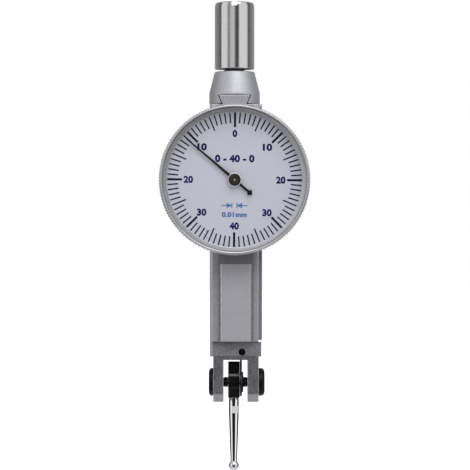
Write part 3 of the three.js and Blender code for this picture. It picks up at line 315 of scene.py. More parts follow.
class PointerSettings(bpy.types.PropertyGroup):
    rest: IntProperty(name="Rest", default=11, description="Divisions anticlockwise of zero")
    reach: length("Reach", 12.6, "From the hub to the tip")
    root_width: length("Root width", 0.6, "Width at the hub")
    tip_width: length("Tip width", 0.27, "Width at the tip")
    tail_reach: length("Tail reach", 4.6, "From the hub to the tail's end")
    tail_width: length("Tail width", 0.5, "Width of the tail")
    weight_side: length("Weight", 0.95, "Side of the square at the tail's end, which stands on its corner")
    boss_radius: length("Boss radius", 1.15, "Round part under the hub")
    edge: length("Edge", 0.03, "Radius of the hand's edges")
    hub_edge: length("Hub edge", 0.12, "Bevel round the hub")
    hub_rim: length("Hub rim", 0.08, "By which the hub's rim stands out beyond the solid")
    hub_neck: length("Hub neck", 0.8, "Radius of the hub's part in the hand")
    hub_face: length("Hub face", 1.23, "Radius of the hub's dark face")
    dimple_radius: length("Dimple radius", 0.26, "Punch mark in the hub")
    dimple_depth: length("Dimple depth", 0.14, "Punch mark in the hub")


class PivotSettings(bpy.types.PropertyGroup):
    head_side: share("Side", 0.45, "Part of a head's height that is cylindrical")
    head_flat: share("Flat", 0.7, "Part of a head's radius that is flat")
    slot_width: length("Slot width", 0.6, "Screwdriver slots")
    slot_depth: length("Slot depth", 0.4, "Screwdriver slots")
    shank_radius: length("Shank radius", 1.48, "In the fork's bores")
    spacer_edge: length("Spacer edge", 0.28, "Radius of the spacers' outer ends")
    take_up: length("Take-up", 0.03, "By which the rings on the axle close the gaps between the solids")
    axle_radius: length("Axle radius", 0.5, "Through the spacers and the lever")


class LeverSettings(bpy.types.PropertyGroup):
    lobe_radius: length("Lobe radius", 2.87, "Round the pivot")
    waist_rise: length("Waist rise", 12, "From the pivot up to the waist")
    half_width: length("Half width", 1.3, "Of the lever below its waist")
    neck_half: length("Neck half width", 0.9, "Of the lever under its sector")
    neck_drop: length("Neck drop", 3.4, "From the pitch line to the neck")
    sector_depth: length("Sector depth", 2.2, "From the pitch line to the sector's lower edge")
    sector_radius: length("Sector radius", 39.406, "Pitch line of the teeth")
    tooth_module: length("Module", 0.19902, "Size of the teeth")
    teeth: IntProperty(name="Sector teeth", default=8, min=1, description="Teeth at the lever's upper end")
    teeth_per_turn: IntProperty(name="Teeth in a turn", default=396, min=8, description="On a whole circle")
    edge: length("Edge", 0.05, "Radius of the lever's edges")


class StylusSettings(bpy.types.PropertyGroup):
    hub_half: length("Hub half depth", 2.03, "Carrier round the pivot")
    hub_rise: length("Hub rise", 1.71, "From the pivot up to the top of that part")
    # The bare steel on the hub chamfer is a painted highlight
    hub_chamfer: length("Hub chamfer", 0.42, "Upper edges of that part, where the steel shows")
    tail_rise: length("Tail rise", 4.1, "From the pivot up to the block's top")
    tail_half: length("Tail half depth", 1.35, "Block above the hub")
    tail_chamfer: length("Tail chamfer", 0.3, "Corners of the block above the hub")
    nose_half: length("Nose half depth", 1.45, "Block below the hub")
    nose_drop: length("Nose drop", 3.1, "From the pivot down to the nose's end")
    edge: length("Edge", 0.12, "Radius of the carrier's edges")
    shank_radius: length("Shank radius", 1, "Cylindrical part of the stylus")
    shoulder: length("Shoulder", 3.15, "Length of the cylindrical part")
    tip_radius: length("Tip radius", 0.65, "Where the shank meets the ball")
    thread_radius: length("Thread radius", 0.7, "Of the shank's part in the carrier")
    flat_start: length("Flat start", 1.75, "From the carrier down to the spanner flats")
    flat_length: length("Flat length", 1.4, "Length of the spanner flats")
    flat_depth: length("Flat depth", 0.25, "Depth of each spanner flat")
    flat_turn: angle("Flat turn", 20, "From straight ahead to where the front flat faces")
    ball_radius: length("Ball radius", 1, "Contact ball")


class StageSettings(bpy.types.PropertyGroup):
    floor: colour("Floor", (0.82, 0.82, 0.83), "Pale floor under the object")
    floor_drop: length("Floor drop", 8, "From the ball down to the floor")
    floor_size: length("Floor size", 4000, "Side of the floor")
    camera_distance: length("Camera distance", 500, "From the stem's axis to the camera")
    camera_across: length("Camera across", 0.087, "Camera to the right of the stem's axis")
    camera_height: length("Camera height", -40.2, "Height of the camera's axis")
    lens: FloatProperty(name="Lens", default=189.6, description="Focal length, in millimetres")
    fill: FloatProperty(name="Fill", default=0.62, min=0, description="Light from all round on matt surfaces")
    key: FloatProperty(name="Key", default=2.4, min=0, description="Power of the lamp, in watts")
    glow: FloatProperty(name="Glow", default=0.65, min=0, description="Keeps the floor white")


class IndicatorSettings(bpy.types.PropertyGroup):
    finishes: PointerProperty(type=FinishSettings)
    stem: PointerProperty(type=StemSettings)
    clamp: PointerProperty(type=ClampSettings)
    frame: PointerProperty(type=FrameSettings)
    cover: PointerProperty(type=CoverSettings)
    housing: PointerProperty(type=HousingSettings)
    bezel: PointerProperty(type=BezelSettings)
    crystal: PointerProperty(type=CrystalSettings)
    dial: PointerProperty(type=DialSettings)
    pointer: PointerProperty(type=PointerSettings)
    pivot: PointerProperty(type=PivotSettings)
    lever: PointerProperty(type=LeverSettings)
    stylus: PointerProperty(type=StylusSettings)
    stage: PointerProperty(type=StageSettings)


# Shader expressions
class Signal:
    """An output socket. Arithmetic on it adds Math nodes."""

    def __init__(self, graph, socket):
        self.graph = graph
        self.socket = socket

    def math(self, operation, first, second):
        return self.graph.node("ShaderNodeMath", {"operation": operation}, {0: first, 1: second})

    def __add__(self, other):
        return self.math("ADD", self, other)

    def __radd__(self, other):
        return self.math("ADD", other, self)

    def __sub__(self, other):
        return self.math("SUBTRACT", self, other)

    def __rsub__(self, other):
        return self.math("SUBTRACT", other, self)

    def __mul__(self, other):
        return self.math("MULTIPLY", self, other)

    def __rmul__(self, other):
        return self.math("MULTIPLY", other, self)

    def __truediv__(self, other):
        return self.math("DIVIDE", self, other)

    def __lt__(self, other):
        return self.math("LESS_THAN", self, other)

    def __gt__(self, other):
        return self.math("GREATER_THAN", self, other)

    def __pow__(self, other):
        return self.math("POWER", self, other)

    def __abs__(self):
        return self.graph.node("ShaderNodeMath", {"operation": "ABSOLUTE"}, {0: self})


class Graph:
    """The nodes of one material or of the world."""

    def __init__(self, tree):
        self.tree = tree
        tree.nodes.clear()

    def node(self, kind, settings, values, output=0):
        node = self.tree.nodes.new(kind)
        for name, value in settings.items():
            if name == "stops":
                self.set_stops(node.color_ramp.elements, value)
            else:
                setattr(node, name, value)
        for key, value in values.items():
            if isinstance(value, Signal):
                self.tree.links.new(value.socket, node.inputs[key])
            else:
                node.inputs[key].default_value = value
        return Signal(self, node.outputs[output]) if node.outputs else None

    def set_stops(self, elements, stops):
        while len(elements) < len(stops):
            elements.new(1)
        for element, (position, grey) in zip(elements, stops):
            element.position = position
            element.color = plain_grey(grey)

    def mix_colour(self, factor, first, second):
        return self.node("ShaderNodeMix", {"data_type": "RGBA"}, {0: factor, 6: first, 7: second}, 2)

    def toned(self, tone, rgb, darkest, lightest):
        """A colour times a factor that rises from darkest to lightest as the tone goes from 0 to 1."""
        return self.mix_colour(tone, opaque(scaled(rgb, darkest)), opaque(scaled(rgb, lightest)))

    def mix_shader(self, factor, first, second):
        return self.node("ShaderNodeMixShader", {}, {0: factor, 1: first, 2: second})

    def smooth(self, value, low, high):
        """Rises from 0 to 1 as the value goes from low to high."""
        settings = {"interpolation_type": "SMOOTHSTEP"}
        return self.node("ShaderNodeMapRange", settings, {0: value, 1: low, 2: high, 3: 0.0, 4: 1.0})

    def point(self):
        """The point on the piece, in its own frame."""
        return self.node("ShaderNodeTexCoord", {}, {}, "Object")

    def part(self, vector, axis):
        return self.node("ShaderNodeSeparateXYZ", {}, {0: vector}, axis)

    def stretched(self, vector, scale):
        return self.node("ShaderNodeVectorMath", {"operation": "MULTIPLY"}, {0: vector, 1: scale})

    def noise(self, vector, size, detail=2.0, roughness=0.5):
        values = {"Vector": vector, "Scale": 1 / size, "Detail": detail, "Roughness": roughness}
        return self.node("ShaderNodeTexNoise", {}, values)

    def bump(self, height, strength, distance):
        return self.node("ShaderNodeBump", {}, {"Strength": strength, "Distance": distance, "Height": height})

    def ray(self, kind):
        """1 for rays of one kind, and 0 for the others."""
        return self.node("ShaderNodeLightPath", {}, {}, kind)

    def wear(self):
        """How far a face's plating has worn off, or carries a painted highlight of bare metal, as the shapes
        below set it.
        """
        return self.node("ShaderNodeAttribute", {"attribute_name": "wear"}, {}, "Fac")

    def radius(self, point, centre):
        """How far the point is from an axis that runs front to rear."""
        across = self.part(point, "X") - centre[0]
        up = self.part(point, "Z") - centre[1]
        return (across * across + up * up) ** 0.5


def opaque(rgb):
    return (*rgb, 1.0)


def plain_grey(level):
    return (level, level, level, 1.0)


def scaled(rgb, factor):
    return tuple(min(1.0, channel * factor) for channel in rgb)


FINISHES = {}
METAL = {"Metallic": 1.0}
DULL = {"IOR": 1.2}  # mirrors little

# Grey level of the frame's plating, and what its places add to it or take from it, painted shade among them
FRAME_LEVEL = 0.84
TAIL_LEVEL = 0.18  # added on the front and rear dovetails
FOOT_PAINTED_SHADE = 0.32  # painted shade, taken beside their feet
END_LEVEL = 0.2  # added on the dovetail under the clamp
MILLED_LEVEL = 0.19  # taken on the fork's milled ends

# Places where a finish, a painted shade or a painted highlight changes
FOOT_REACH = 0.7 * MM  # over which the painted shade beside a dovetail fades
RIM_START = 0.46 * MM  # inside a dovetail's half width, where the painted highlight along its edge begins
RIM_END = 0.36 * MM  # and where that line is at its brightest
HUB_BLEND = 0.03 * MM  # half the width over which the hub's face turns into its rim

# Shares
ARM_SHADE_SHARE = 0.35  # how far the blasted arms of the fork are darkened
GAP_SHADE_SHARE = 0.2  # how dark the painted shade in the narrow groove round the crystal is
TAIL_SHARE = 0.6  # of a dovetail's height, above which it counts as raised
GROOVE_SHARE = 0.97  # of the clamp's radius, to which painted shade darkens its groove
LINE_SHARE = 0.02  # a turned line's width, of its length


def finish(name, build, base, values):
    """A material with one Principled shader. build gives what changes over the surface."""
    material = bpy.data.materials.new(name)
    material.use_nodes = True
    graph = Graph(material.node_tree)
    varied = build(graph, base)
    shader = graph.node("ShaderNodeBsdfPrincipled", {}, {"Base Color": opaque(base), **values, **varied})
    graph.node("ShaderNodeOutputMaterial", {}, {"Surface": shader})
    FINISHES[name] = material


# Finishes
def grains(graph, point, size):
    """The height of fine grains, and their tone from 0 to 1 with slow clouds in it."""
    grain = graph.noise(point, size, 3.0, 0.7)
    cloud = graph.noise(point, size * 25)
    return grain, graph.smooth(grain * 0.8 + cloud * 0.2, 0.36, 0.64)


def speckled(size, contrast, roughness, spread, bump, bare_and_highlight, shadow=None):
    """Fine grains of lighter and darker metal, as blasting and satin plating leave them.

    Worn faces, and faces with a painted highlight, show bare metal. shadow gives where shade is painted, from
    0 to 1.
    """

    def build(graph, base):
        point = graph.point()
        grain, tone = grains(graph, point, size)
        wear = graph.wear()
        plated = graph.toned(tone, base, 1 - contrast, 1 + contrast)
        # Worn faces and painted highlights turn to bare metal
        colour = graph.mix_colour(wear * (tone * 0.3 + 0.6), plated, opaque(bare_and_highlight))
        if shadow:
            # Painted shade: where shadow says, the colour turns almost black
            colour = graph.mix_colour(shadow(graph, point), colour, opaque(scaled(base, 0.04)))
        return {
            "Base Color": colour,
            "Roughness": (roughness + spread / 2) - tone * spread - wear * 0.15,
            "Normal": graph.bump(grain, bump, size * 0.2),
        }

    return build


def groove_painted_shade(half_width, reach, ceiling):
    """Painted shade inside the clamp's groove, up to a reach from the stem's axis."""

    def shadow(graph, point):
        across = graph.part(point, "X")
        along = graph.part(point, "Y")
        inside = (across * across + along * along) ** 0.5 < reach
        return (abs(across) < half_width) * inside * (graph.part(point, "Z") < ceiling)

    return shadow


def crystal_gap_painted_shade(centre, inner, outer):
    """Painted shade in the narrow groove round the crystal."""

    def shadow(graph, point):
        radius = graph.radius(point, centre)
        return (radius > inner) * (radius < outer) * GAP_SHADE_SHARE

    return shadow


def frame_finish(size, blasted, bare_and_highlight, sizes, middle, blasted_top, top):
    """Satin plating on the arm, blasted metal on the head and fork, and milled metal on the fork's ends, with
    painted shade beside the dovetails' feet and painted highlights along their edges.
    """

    def build(graph, base):
        point = graph.point()
        grain, tone = grains(graph, point, size)
        wear = graph.wear()
        height = graph.part(point, "Z")
        depth = abs(graph.part(point, "Y"))
        side = abs(graph.part(point, "X") - middle)
        half_tail = sizes.side_dovetail_width / 2
        tail_start = sizes.depth / 2 + sizes.side_dovetail_height * TAIL_SHARE
        raised = (depth > tail_start) * (side < sizes.side_dovetail_width)
        # Painted shade beside the dovetails' feet
        foot = (height > blasted_top) * (1 - graph.smooth(side, half_tail, half_tail + FOOT_REACH))
        milled = height < blasted_top - sizes.head_rise - sizes.fork_end_drop
        level = raised * TAIL_LEVEL + FRAME_LEVEL - foot * (1 - raised) * FOOT_PAINTED_SHADE
        level = level + (height > top) * END_LEVEL - milled * MILLED_LEVEL
        # Painted highlight along the edges of the dovetails' faces
        rim = raised * graph.smooth(side, half_tail - RIM_START, half_tail - RIM_END)
        middle_part = (height < blasted_top) * (1 - milled)
        satin = graph.mix_colour(level, plain_grey(0), graph.toned(tone, base, 1.15, 1.56))
        arms = height < blasted_top - sizes.head_rise + sizes.shoulder_rise
        rough = graph.mix_colour(arms * ARM_SHADE_SHARE, graph.toned(tone, blasted, 0.75, 1.7), plain_grey(0))
        plated = graph.mix_colour(middle_part, satin, rough)
        return {
            "Base Color": graph.mix_colour((wear + rim) * (tone * 0.3 + 0.55), plated, opaque(bare_and_highlight)),
            "Roughness": (middle_part * 0.06 + 0.56) - tone * 0.1 - wear * 0.2,
            "Normal": graph.bump(grain, 0.2, size * 0.2),
        }

    return build


def turned(axis, size, roughness, spread, bump):
    """Fine lines round an axis, as turning leaves them."""
    stretch = on_axes(axis, 1, LINE_SHARE, LINE_SHARE)

    def build(graph, base):
        point = graph.point()
        lines = graph.noise(graph.stretched(point, stretch), size, 3.0, 0.7)
        marks = graph.noise(point, size * 12, 3.0, 0.6)
        tone = graph.smooth(lines * 0.75 + marks * 0.25, 0.3, 0.7)
        return {
            "Base Color": graph.toned(tone, base, 0.93, 1.06),
            "Roughness": tone * spread + (roughness - spread / 2),
            "Normal": graph.bump(lines, bump, size * 0.1),
        }

    return build


def oxide(size, roughness, bare_and_highlight):
    """Black oxide on steel, faintly lighter where it has been handled, and worn through on some edges, where
    painted highlights of bare steel also go.
    """

    def build(graph, base):
        point = graph.point()
        grain = graph.noise(point, size, 3.0, 0.6)
        handled = graph.smooth(graph.noise(point, size * 9, 3.0), 0.45, 0.75)
        wear = graph.wear() * (grain * 0.5 + 0.55)
        colour = graph.mix_colour(handled * 0.5, opaque(base), opaque(scaled(base, 2.5)))
        return {
            "Base Color": graph.mix_colour(wear, colour, opaque(bare_and_highlight)),
            "Metallic": wear,
            "Roughness": grain * 0.14 + handled * 0.06 + (roughness - 0.1),
            "Normal": graph.bump(grain, 0.14, size * 0.12),
        }

    return build


def hub_finish(size, centre, sizes, rim, mark):
    """A dark turned face, with a bright rim that is partly a painted highlight round the hub's edge, and a
    painted glint in the punch mark.
    """

    def build(graph, base):
        point = graph.point()
        lines = graph.noise(graph.stretched(point, (LINE_SHARE, 1, LINE_SHARE)), size, 3.0, 0.7)
        radius = graph.radius(point, centre)
        face = graph.toned(lines, base, 0.8, 1.3)
        outside = graph.smooth(radius, sizes.hub_face - HUB_BLEND, sizes.hub_face + HUB_BLEND)
        centre_mark = 1 - graph.smooth(radius, sizes.dimple_radius * 0.8, sizes.dimple_radius)
        # The bright rim is partly a painted highlight round the hub's edge
        ringed = graph.mix_colour(outside, face, opaque(rim))
        return {
            # Painted glint in the punch mark
            "Base Color": graph.mix_colour(centre_mark, ringed, opaque(mark)),
            "Roughness": lines * 0.1 + 0.18 + outside * 0.35,
            "Normal": graph.bump(lines, 0.05, size * 0.1),
        }

    return build


def painted(size, contrast, roughness):
    """Paint or ink with a faint orange peel."""

    def build(graph, base):
        point = graph.point()
        cloud = graph.noise(point, size * 20, 3.0)
        peel = graph.noise(point, size)
        return {
            "Base Color": graph.toned(cloud, base, 1 - contrast, 1 + contrast),
            "Roughness": peel * 0.12 + (roughness - 0.06),
            "Normal": graph.bump(peel, 0.05, size * 0.05),
        }

    return build


def clear(index):
    """Reflects as much as its angle makes it, and is clear for the rest."""

    def build(graph, base):
        smear = graph.noise(graph.point(), SMEAR, 3.0)
        gloss = graph.node("ShaderNodeFresnel", {}, {"IOR": index})
        inside = graph.node("ShaderNodeNewGeometry", {}, {}, "Backfacing")
        return {"Alpha": gloss * (1 - inside), "Roughness": smear * 0.04 + 0.01}

    return build


def make_finishes(settings):
    """Every finish of the object, most of them named as the record's slots are."""
    colours = settings.finishes
    grain = colours.grain
    bare_and_highlight = colours.bare_and_highlight
    low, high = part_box("side_cover")
    body = settings.frame
    dial = middle_of("dial_plate")
    centre = (dial.x, dial.z)
    groove_top = high.z + body.end_dovetail_height + settings.clamp.slide_gap
    groove_half = body.end_dovetail_width / 2 + settings.clamp.flank_gap
    groove_reach = high_of("dovetail_clamp").x * GROOVE_SHARE
    # Painted shade inside the clamp's groove
    groove = groove_painted_shade(groove_half + 4 * TINY, groove_reach, groove_top - 4 * TINY)
    # Painted shade in the narrow groove round the crystal
    ring = crystal_gap_painted_shade(centre, settings.bezel.relief_inner, settings.bezel.lip_bore)
    middle = (body.left + high.x) / 2
    satin = frame_finish(grain, colours.blasted, bare_and_highlight, body, middle, low.z, high.z)
    finish("frame_chrome", satin, colours.satin, METAL)
    plated = (
        ("satin_chrome", 1, 0.1, 0.55, 0.08, 0.14, groove, scaled(colours.satin, 1.08), {"Metallic": 0.85}),
        ("bezel_chrome", 0.6, 0.07, 0.34, 0.06, 0.05, ring, colours.bezel, METAL),
        ("blasted_steel", 1, 0.36, 0.5, 0.14, 0.25, None, scaled(colours.blasted, 1.3), METAL),
    )
    for name, size, contrast, roughness, spread, bump, shadow, base, values in plated:
        finish(name, speckled(grain * size, contrast, roughness, spread, bump, bare_and_highlight, shadow), base, values)
    lathed = (
        ("bright_steel", "Z", 0.4, 0.14, 0.08, 0.04, colours.turned),
        ("polished_steel", "Z", 0.3, 0.05, 0.04, 0.01, colours.polished),
        ("carbide", "Z", 1, 0.05, 0.03, 0.01, colours.carbide),
        ("brass", "Y", 1, 0.32, 0.14, 0.08, colours.brass),
        ("blue_steel", "Y", 1, 0.25, 0.1, 0.05, colours.blued),
    )
    for name, axis, size, roughness, spread, bump, base in lathed:
        finish(name, turned(axis, grain * size, roughness, spread, bump), base, METAL)
    hub = hub_finish(grain * 0.5, centre, settings.pointer, colours.hub_rim, colours.hub_mark)
    finish("hub_metal", hub, colours.hub, METAL)
    finish("black_steel", oxide(grain, 0.34, bare_and_highlight), colours.black, {"IOR": 1.25})
    finish("stud_steel", oxide(grain, 0.34, colours.satin), scaled(colours.black, 14), {"IOR": 1.4})
    coated = (
        ("ruby", 0.25, 0.1, colours.ruby, {"Coat Weight": 0.6}),
        ("dial_paint", 0.012, 0.55, colours.paint, {}),
        ("graduation_ink", 0.2, 0.45, colours.graduation_ink, DULL),
        ("number_ink", 0.2, 0.45, colours.number_ink, DULL),
        ("pale_ink", 0.05, 0.45, colours.pale_ink, {}),
        ("hand_paint", 0.2, 0.4, colours.lacquer, DULL),
    )
    for name, contrast, roughness, base, values in coated:
        finish(name, painted(grain, contrast, roughness), base, values)
    finish("crystal_clear", clear(settings.crystal.refraction), (1, 1, 1), METAL)


# Places that follow from the solids
def low_of(node):
    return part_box(node)[0]


def high_of(node):
    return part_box(node)[1]


def middle_of(node):
    low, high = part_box(node)
    return (low + high) / 2


# Shapes
AXES = {"X": (0, 1, 2), "Y": (1, 0, 2), "Z": (2, 0, 1)}  # the axis itself, then the two across it


def on_axes(axis, along, across, up):
    """A point from its place along an axis and its two places across it."""
    point = [0.0, 0.0, 0.0]
    for index, value in zip(AXES[axis], (along, across, up)):
        point[index] = value
    return point


def add_object(name, mesh):
    made = bpy.data.objects.new(name, mesh)
    bpy.context.scene.collection.objects.link(made)
    return made


def object_from(name, builder):
    bmesh.ops.remove_doubles(builder, verts=builder.verts, dist=SAME_POINT)
    bmesh.ops.recalc_face_normals(builder, faces=builder.faces)
    mesh = bpy.data.meshes.new(name)
    builder.to_mesh(mesh)
    builder.free()
    return add_object(name, mesh)


def arc(centre, radius, start, end, steps):
    """Points on an arc, angles in degrees."""
    turns = [math.radians(start + (end - start) * i / steps) for i in range(steps + 1)]
    return [(centre[0] + radius * math.cos(t), centre[1] + radius * math.sin(t)) for t in turns]


def rounded(outline, radius, steps=4, closed=True):
    """The outline with each sharp corner turned into a curve."""
    count = len(outline)
    result = []
    for i, corner in enumerate(outline):
        here = Vector(corner)
        before = Vector(outline[i - 1]) - here
        after = Vector(outline[(i + 1) % count]) - here
        end = not closed and i in (0, count - 1)
        turn = math.pi if end else before.angle(after)
        if turn > NEARLY_STRAIGHT:
            result.append(corner)
            continue
        reach = min(radius / math.tan(turn / 2), before.length * CORNER_SHARE, after.length * CORNER_SHARE)
        first = here + before.normalized() * reach
        last = here + after.normalized() * reach
        for step in range(steps + 1):
            t = step / steps
            result.append(tuple(first * (1 - t) ** 2 + here * 2 * t * (1 - t) + last * t**2))
    return result


def lathe(name, profile, axis, centre=(0, 0), facets=96, closed=False, swell=None):
    """A profile of radius and place, turned about an axis. swell may change a radius by place and angle."""
    builder = bmesh.new()
    rings = []
    for radius, along in profile:
        if radius < SAME_POINT:
            rings.append([builder.verts.new(on_axes(axis, along, *centre))])
            continue
        ring = []
        for i in range(facets):
            turn = 2 * math.pi * i / facets
            reach = swell(radius, along, turn) if swell else radius
            across = centre[0] + reach * math.cos(turn)
            up = centre[1] + reach * math.sin(turn)
            ring.append(builder.verts.new(on_axes(axis, along, across, up)))
        rings.append(ring)
    pairs = list(zip(rings, rings[1:]))
    if closed:
        pairs.append((rings[-1], rings[0]))
    for first, second in pairs:
        for i in range(facets):
            j = (i + 1) % facets
            corners = [first[i % len(first)], first[j % len(first)]]
            corners += [second[j % len(second)], second[i % len(second)]]
            corners = list(dict.fromkeys(corners))
            if len(corners) > 2:
                builder.faces.new(corners)
    return object_from(name, builder)


def rod(name, radius, axis, low, high, centre=(0, 0), facets=48):
    return lathe(name, [(0, low), (radius, low), (radius, high), (0, high)], axis, centre, facets)


def prism(name, outline, axis, low, high, edge=0.0, segments=3, wear=0.0):
    """An outline across an axis, run along it from low to high. wear goes to the rounded rims and corners, as
    wear and as painted highlights.
    """
    builder = bmesh.new()
    wear_and_highlight_layer = builder.faces.layers.float.new("wear")
    bottom = [builder.verts.new(on_axes(axis, low, u, v)) for u, v in outline]
    top = [builder.verts.new(on_axes(axis, high, u, v)) for u, v in outline]
    caps = [builder.faces.new(bottom), builder.faces.new(top)]
    facet = edge * 1.2  # a shorter side belongs to a rounded corner
    for i in range(len(outline)):
        j = (i + 1) % len(outline)
        side = builder.faces.new([bottom[i], bottom[j], top[j], top[i]])
        if (Vector(outline[i]) - Vector(outline[j])).length < facet:
            side[wear_and_highlight_layer] = wear
    if edge:
        rims = list({e for cap in caps for e in cap.edges})
        rounding = bmesh.ops.bevel(
            builder,
            geom=rims,
            offset=edge,
            segments=segments,
            profile=0.5,
            affect="EDGES",
            clamp_overlap=True,
        )
        for face in rounding["faces"]:
            face[wear_and_highlight_layer] = wear
    return object_from(name, builder)


def block(name, low, high, edge=0.0):
    """A block between two corners, with all its edges rounded."""
    outline = [(low[0], low[1]), (high[0], low[1]), (high[0], high[1]), (low[0], high[1])]
    if edge:
        outline = rounded(outline, edge, 3)
    return prism(name, outline, "Z", low[2], high[2], edge * RIM_SHARE)


def wear_and_highlight_faces(made, amount, chosen):
    """Sets wear, and painted highlights of bare metal, on the faces of a finished mesh for which chosen(face)
    is true.
    """
    layer = made.data.attributes.get("wear") or made.data.attributes.new("wear", "FLOAT", "FACE")
    for face in made.data.polygons:
        if chosen(face):
            layer.data[face.index].value = max(amount, layer.data[face.index].value)


def bake(made):
    """Applies the modifiers."""
    depsgraph = bpy.context.evaluated_depsgraph_get()
    mesh = bpy.data.meshes.new_from_object(made.evaluated_get(depsgraph))
    made.modifiers.clear()
    made.data = mesh
    return made


def combine(target, others, operation):
    """Joins or cuts in millimetres, because the solver rounds what is small in metres."""
    target.data.transform(Matrix.Scale(1 / MM, 4))
    for other in others:
        other.data.transform(Matrix.Scale(1 / MM, 4))
        modifier = target.modifiers.new("combine", "BOOLEAN")
        modifier.operation = operation
        modifier.solver = "EXACT"
        modifier.object = other
        bake(target)
        close_slivers(target)
        bpy.data.objects.remove(other)
    target.data.transform(Matrix.Scale(MM, 4))
    return target


def close_slivers(made):
    """Fills the hair-thin faces that the solver leaves out."""
    builder = bmesh.new()
    builder.from_mesh(made.data)
    gaps = [edge for edge in builder.edges if edge.is_boundary]
    if gaps:
        bmesh.ops.holes_fill(builder, edges=gaps, sides=0)
        builder.to_mesh(made.data)
    builder.free()


def cut(target, *tools):
    return combine(target, tools, "DIFFERENCE")


def join(target, *others):
    return combine(target, others, "UNION")


def soften(made, width, sharper_than):
    """Rounds the edges that are sharper than an angle in degrees."""
    modifier = made.modifiers.new("soften", "BEVEL")
    modifier.width = width
    modifier.segments = 2
    modifier.limit_method = "ANGLE"
    modifier.angle_limit = math.radians(sharper_than)
    modifier.use_clamp_overlap = True
    bake(made)
    builder = bmesh.new()
    builder.from_mesh(made.data)
    bmesh.ops.dissolve_degenerate(builder, dist=NOTHING, edges=builder.edges[:])
    builder.to_mesh(made.data)
    builder.free()
    return made


def shade(made, sharper_than=38):
    """Smooth shading, sharp where faces meet at more than an angle in degrees."""
    for polygon in made.data.polygons:
        polygon.use_smooth = True
    made.data.set_sharp_from_angle(angle=math.radians(sharper_than))
    modifier = made.modifiers.new("normals", "WEIGHTED_NORMAL")
    modifier.keep_sharp = True
    modifier.weight = 90
    return bake(made)


def merged(name, parts):
    """One mesh from several objects, which are removed."""
    builder = bmesh.new()
    for part in parts:
        builder.from_mesh(part.data)
        bpy.data.objects.remove(part)
    mesh = bpy.data.meshes.new(name)
    builder.to_mesh(mesh)
    builder.free()
    return add_object(name, mesh)


def slot_of(node):
    for part in frame["record"]["subparts"]:
        if part["node"] == node:
            return part["material_slot"]
    raise ValueError(f"no slot for {node}")


def dress(made, finish_name, node, stands_for=True):
    """Gives a piece its finish, and the body of a solid, which it may stand for."""
    made.data.materials.clear()
    made.data.materials.append(FINISHES[finish_name])
    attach(made, body_of(frame["nodes"][node])[0])
    if stands_for:
        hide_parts(node)
    return made


def dovetail(width, height, foot, slope, gap=0.0):
    """Wide at its top, with flanks that run on into what it stands on."""
    top = width / 2 + gap
    narrow = top - (height + OVERRUN) * math.tan(slope)
    return [(-narrow, foot - OVERRUN), (narrow, foot - OVERRUN), (top, foot + height), (-top, foot + height)]


class PieceOperator:
    """What the operators of the pieces have in common."""

    bl_options = {"REGISTER", "UNDO"}

    def execute(self, context):
        self.build(context.scene.indicator)
        return {"FINISHED"}


class INDICATOR_OT_stem(PieceOperator, bpy.types.Operator):
    """Adds the stem with its screwdriver slot, and the threaded clamp stud"""

    bl_idname = "indicator.add_stem"
    bl_label = "Stem"

    def build(self, settings):
        sizes = settings.stem
        low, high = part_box("stem_barrel")
        radius = high.x
        top = high.z - sizes.clearance
        bottom = low.z + sizes.clearance
        outline = [
            (0, bottom),
            (radius - sizes.bottom_chamfer, bottom),
            (radius, bottom + sizes.bottom_chamfer),
            (radius, top - sizes.top_chamfer_height),
            (radius - sizes.top_chamfer_depth, top - sizes.crown_height),
            (radius - sizes.top_chamfer_depth - sizes.crown_depth, top),
            (0, top),
        ]
        barrel = lathe("stem", rounded(outline, sizes.edge, 3, closed=False), "Z", facets=128)
        half = sizes.slot_width / 2
        reach = radius + OVERRUN
        slot = block("slot", (-half, -reach, top - sizes.slot_depth), (half, reach, top + OVERRUN))
        cut(barrel, slot)
        dress(shade(soften(barrel, sizes.edge, 50)), "bright_steel", "stem_barrel")
        dress(self.stud(sizes), "stud_steel", "clamp_stud")

    def stud(self, sizes):
        low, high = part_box("clamp_stud")
        radius = high.x
        rows = 8
        pitch = sizes.thread_pitch
        bottom = low.z + sizes.tip_chamfer
        count = int((high.z - bottom) / pitch * rows)
        profile = [(0, low.z), (radius - sizes.tip_chamfer, low.z)]
        profile += [(radius, bottom + i * pitch / rows) for i in range(count + 1)]
        profile.append((0, high.z))

        def thread(reach, along, turn):
            if along < bottom - TINY:
                return reach
            wave = 0.5 - 0.5 * math.cos(2 * math.pi * along / pitch - turn)
            return reach - sizes.thread_depth * (1 - wave**0.7)

        return shade(lathe("stud_thread", profile, "Z", facets=64, swell=thread), 60)


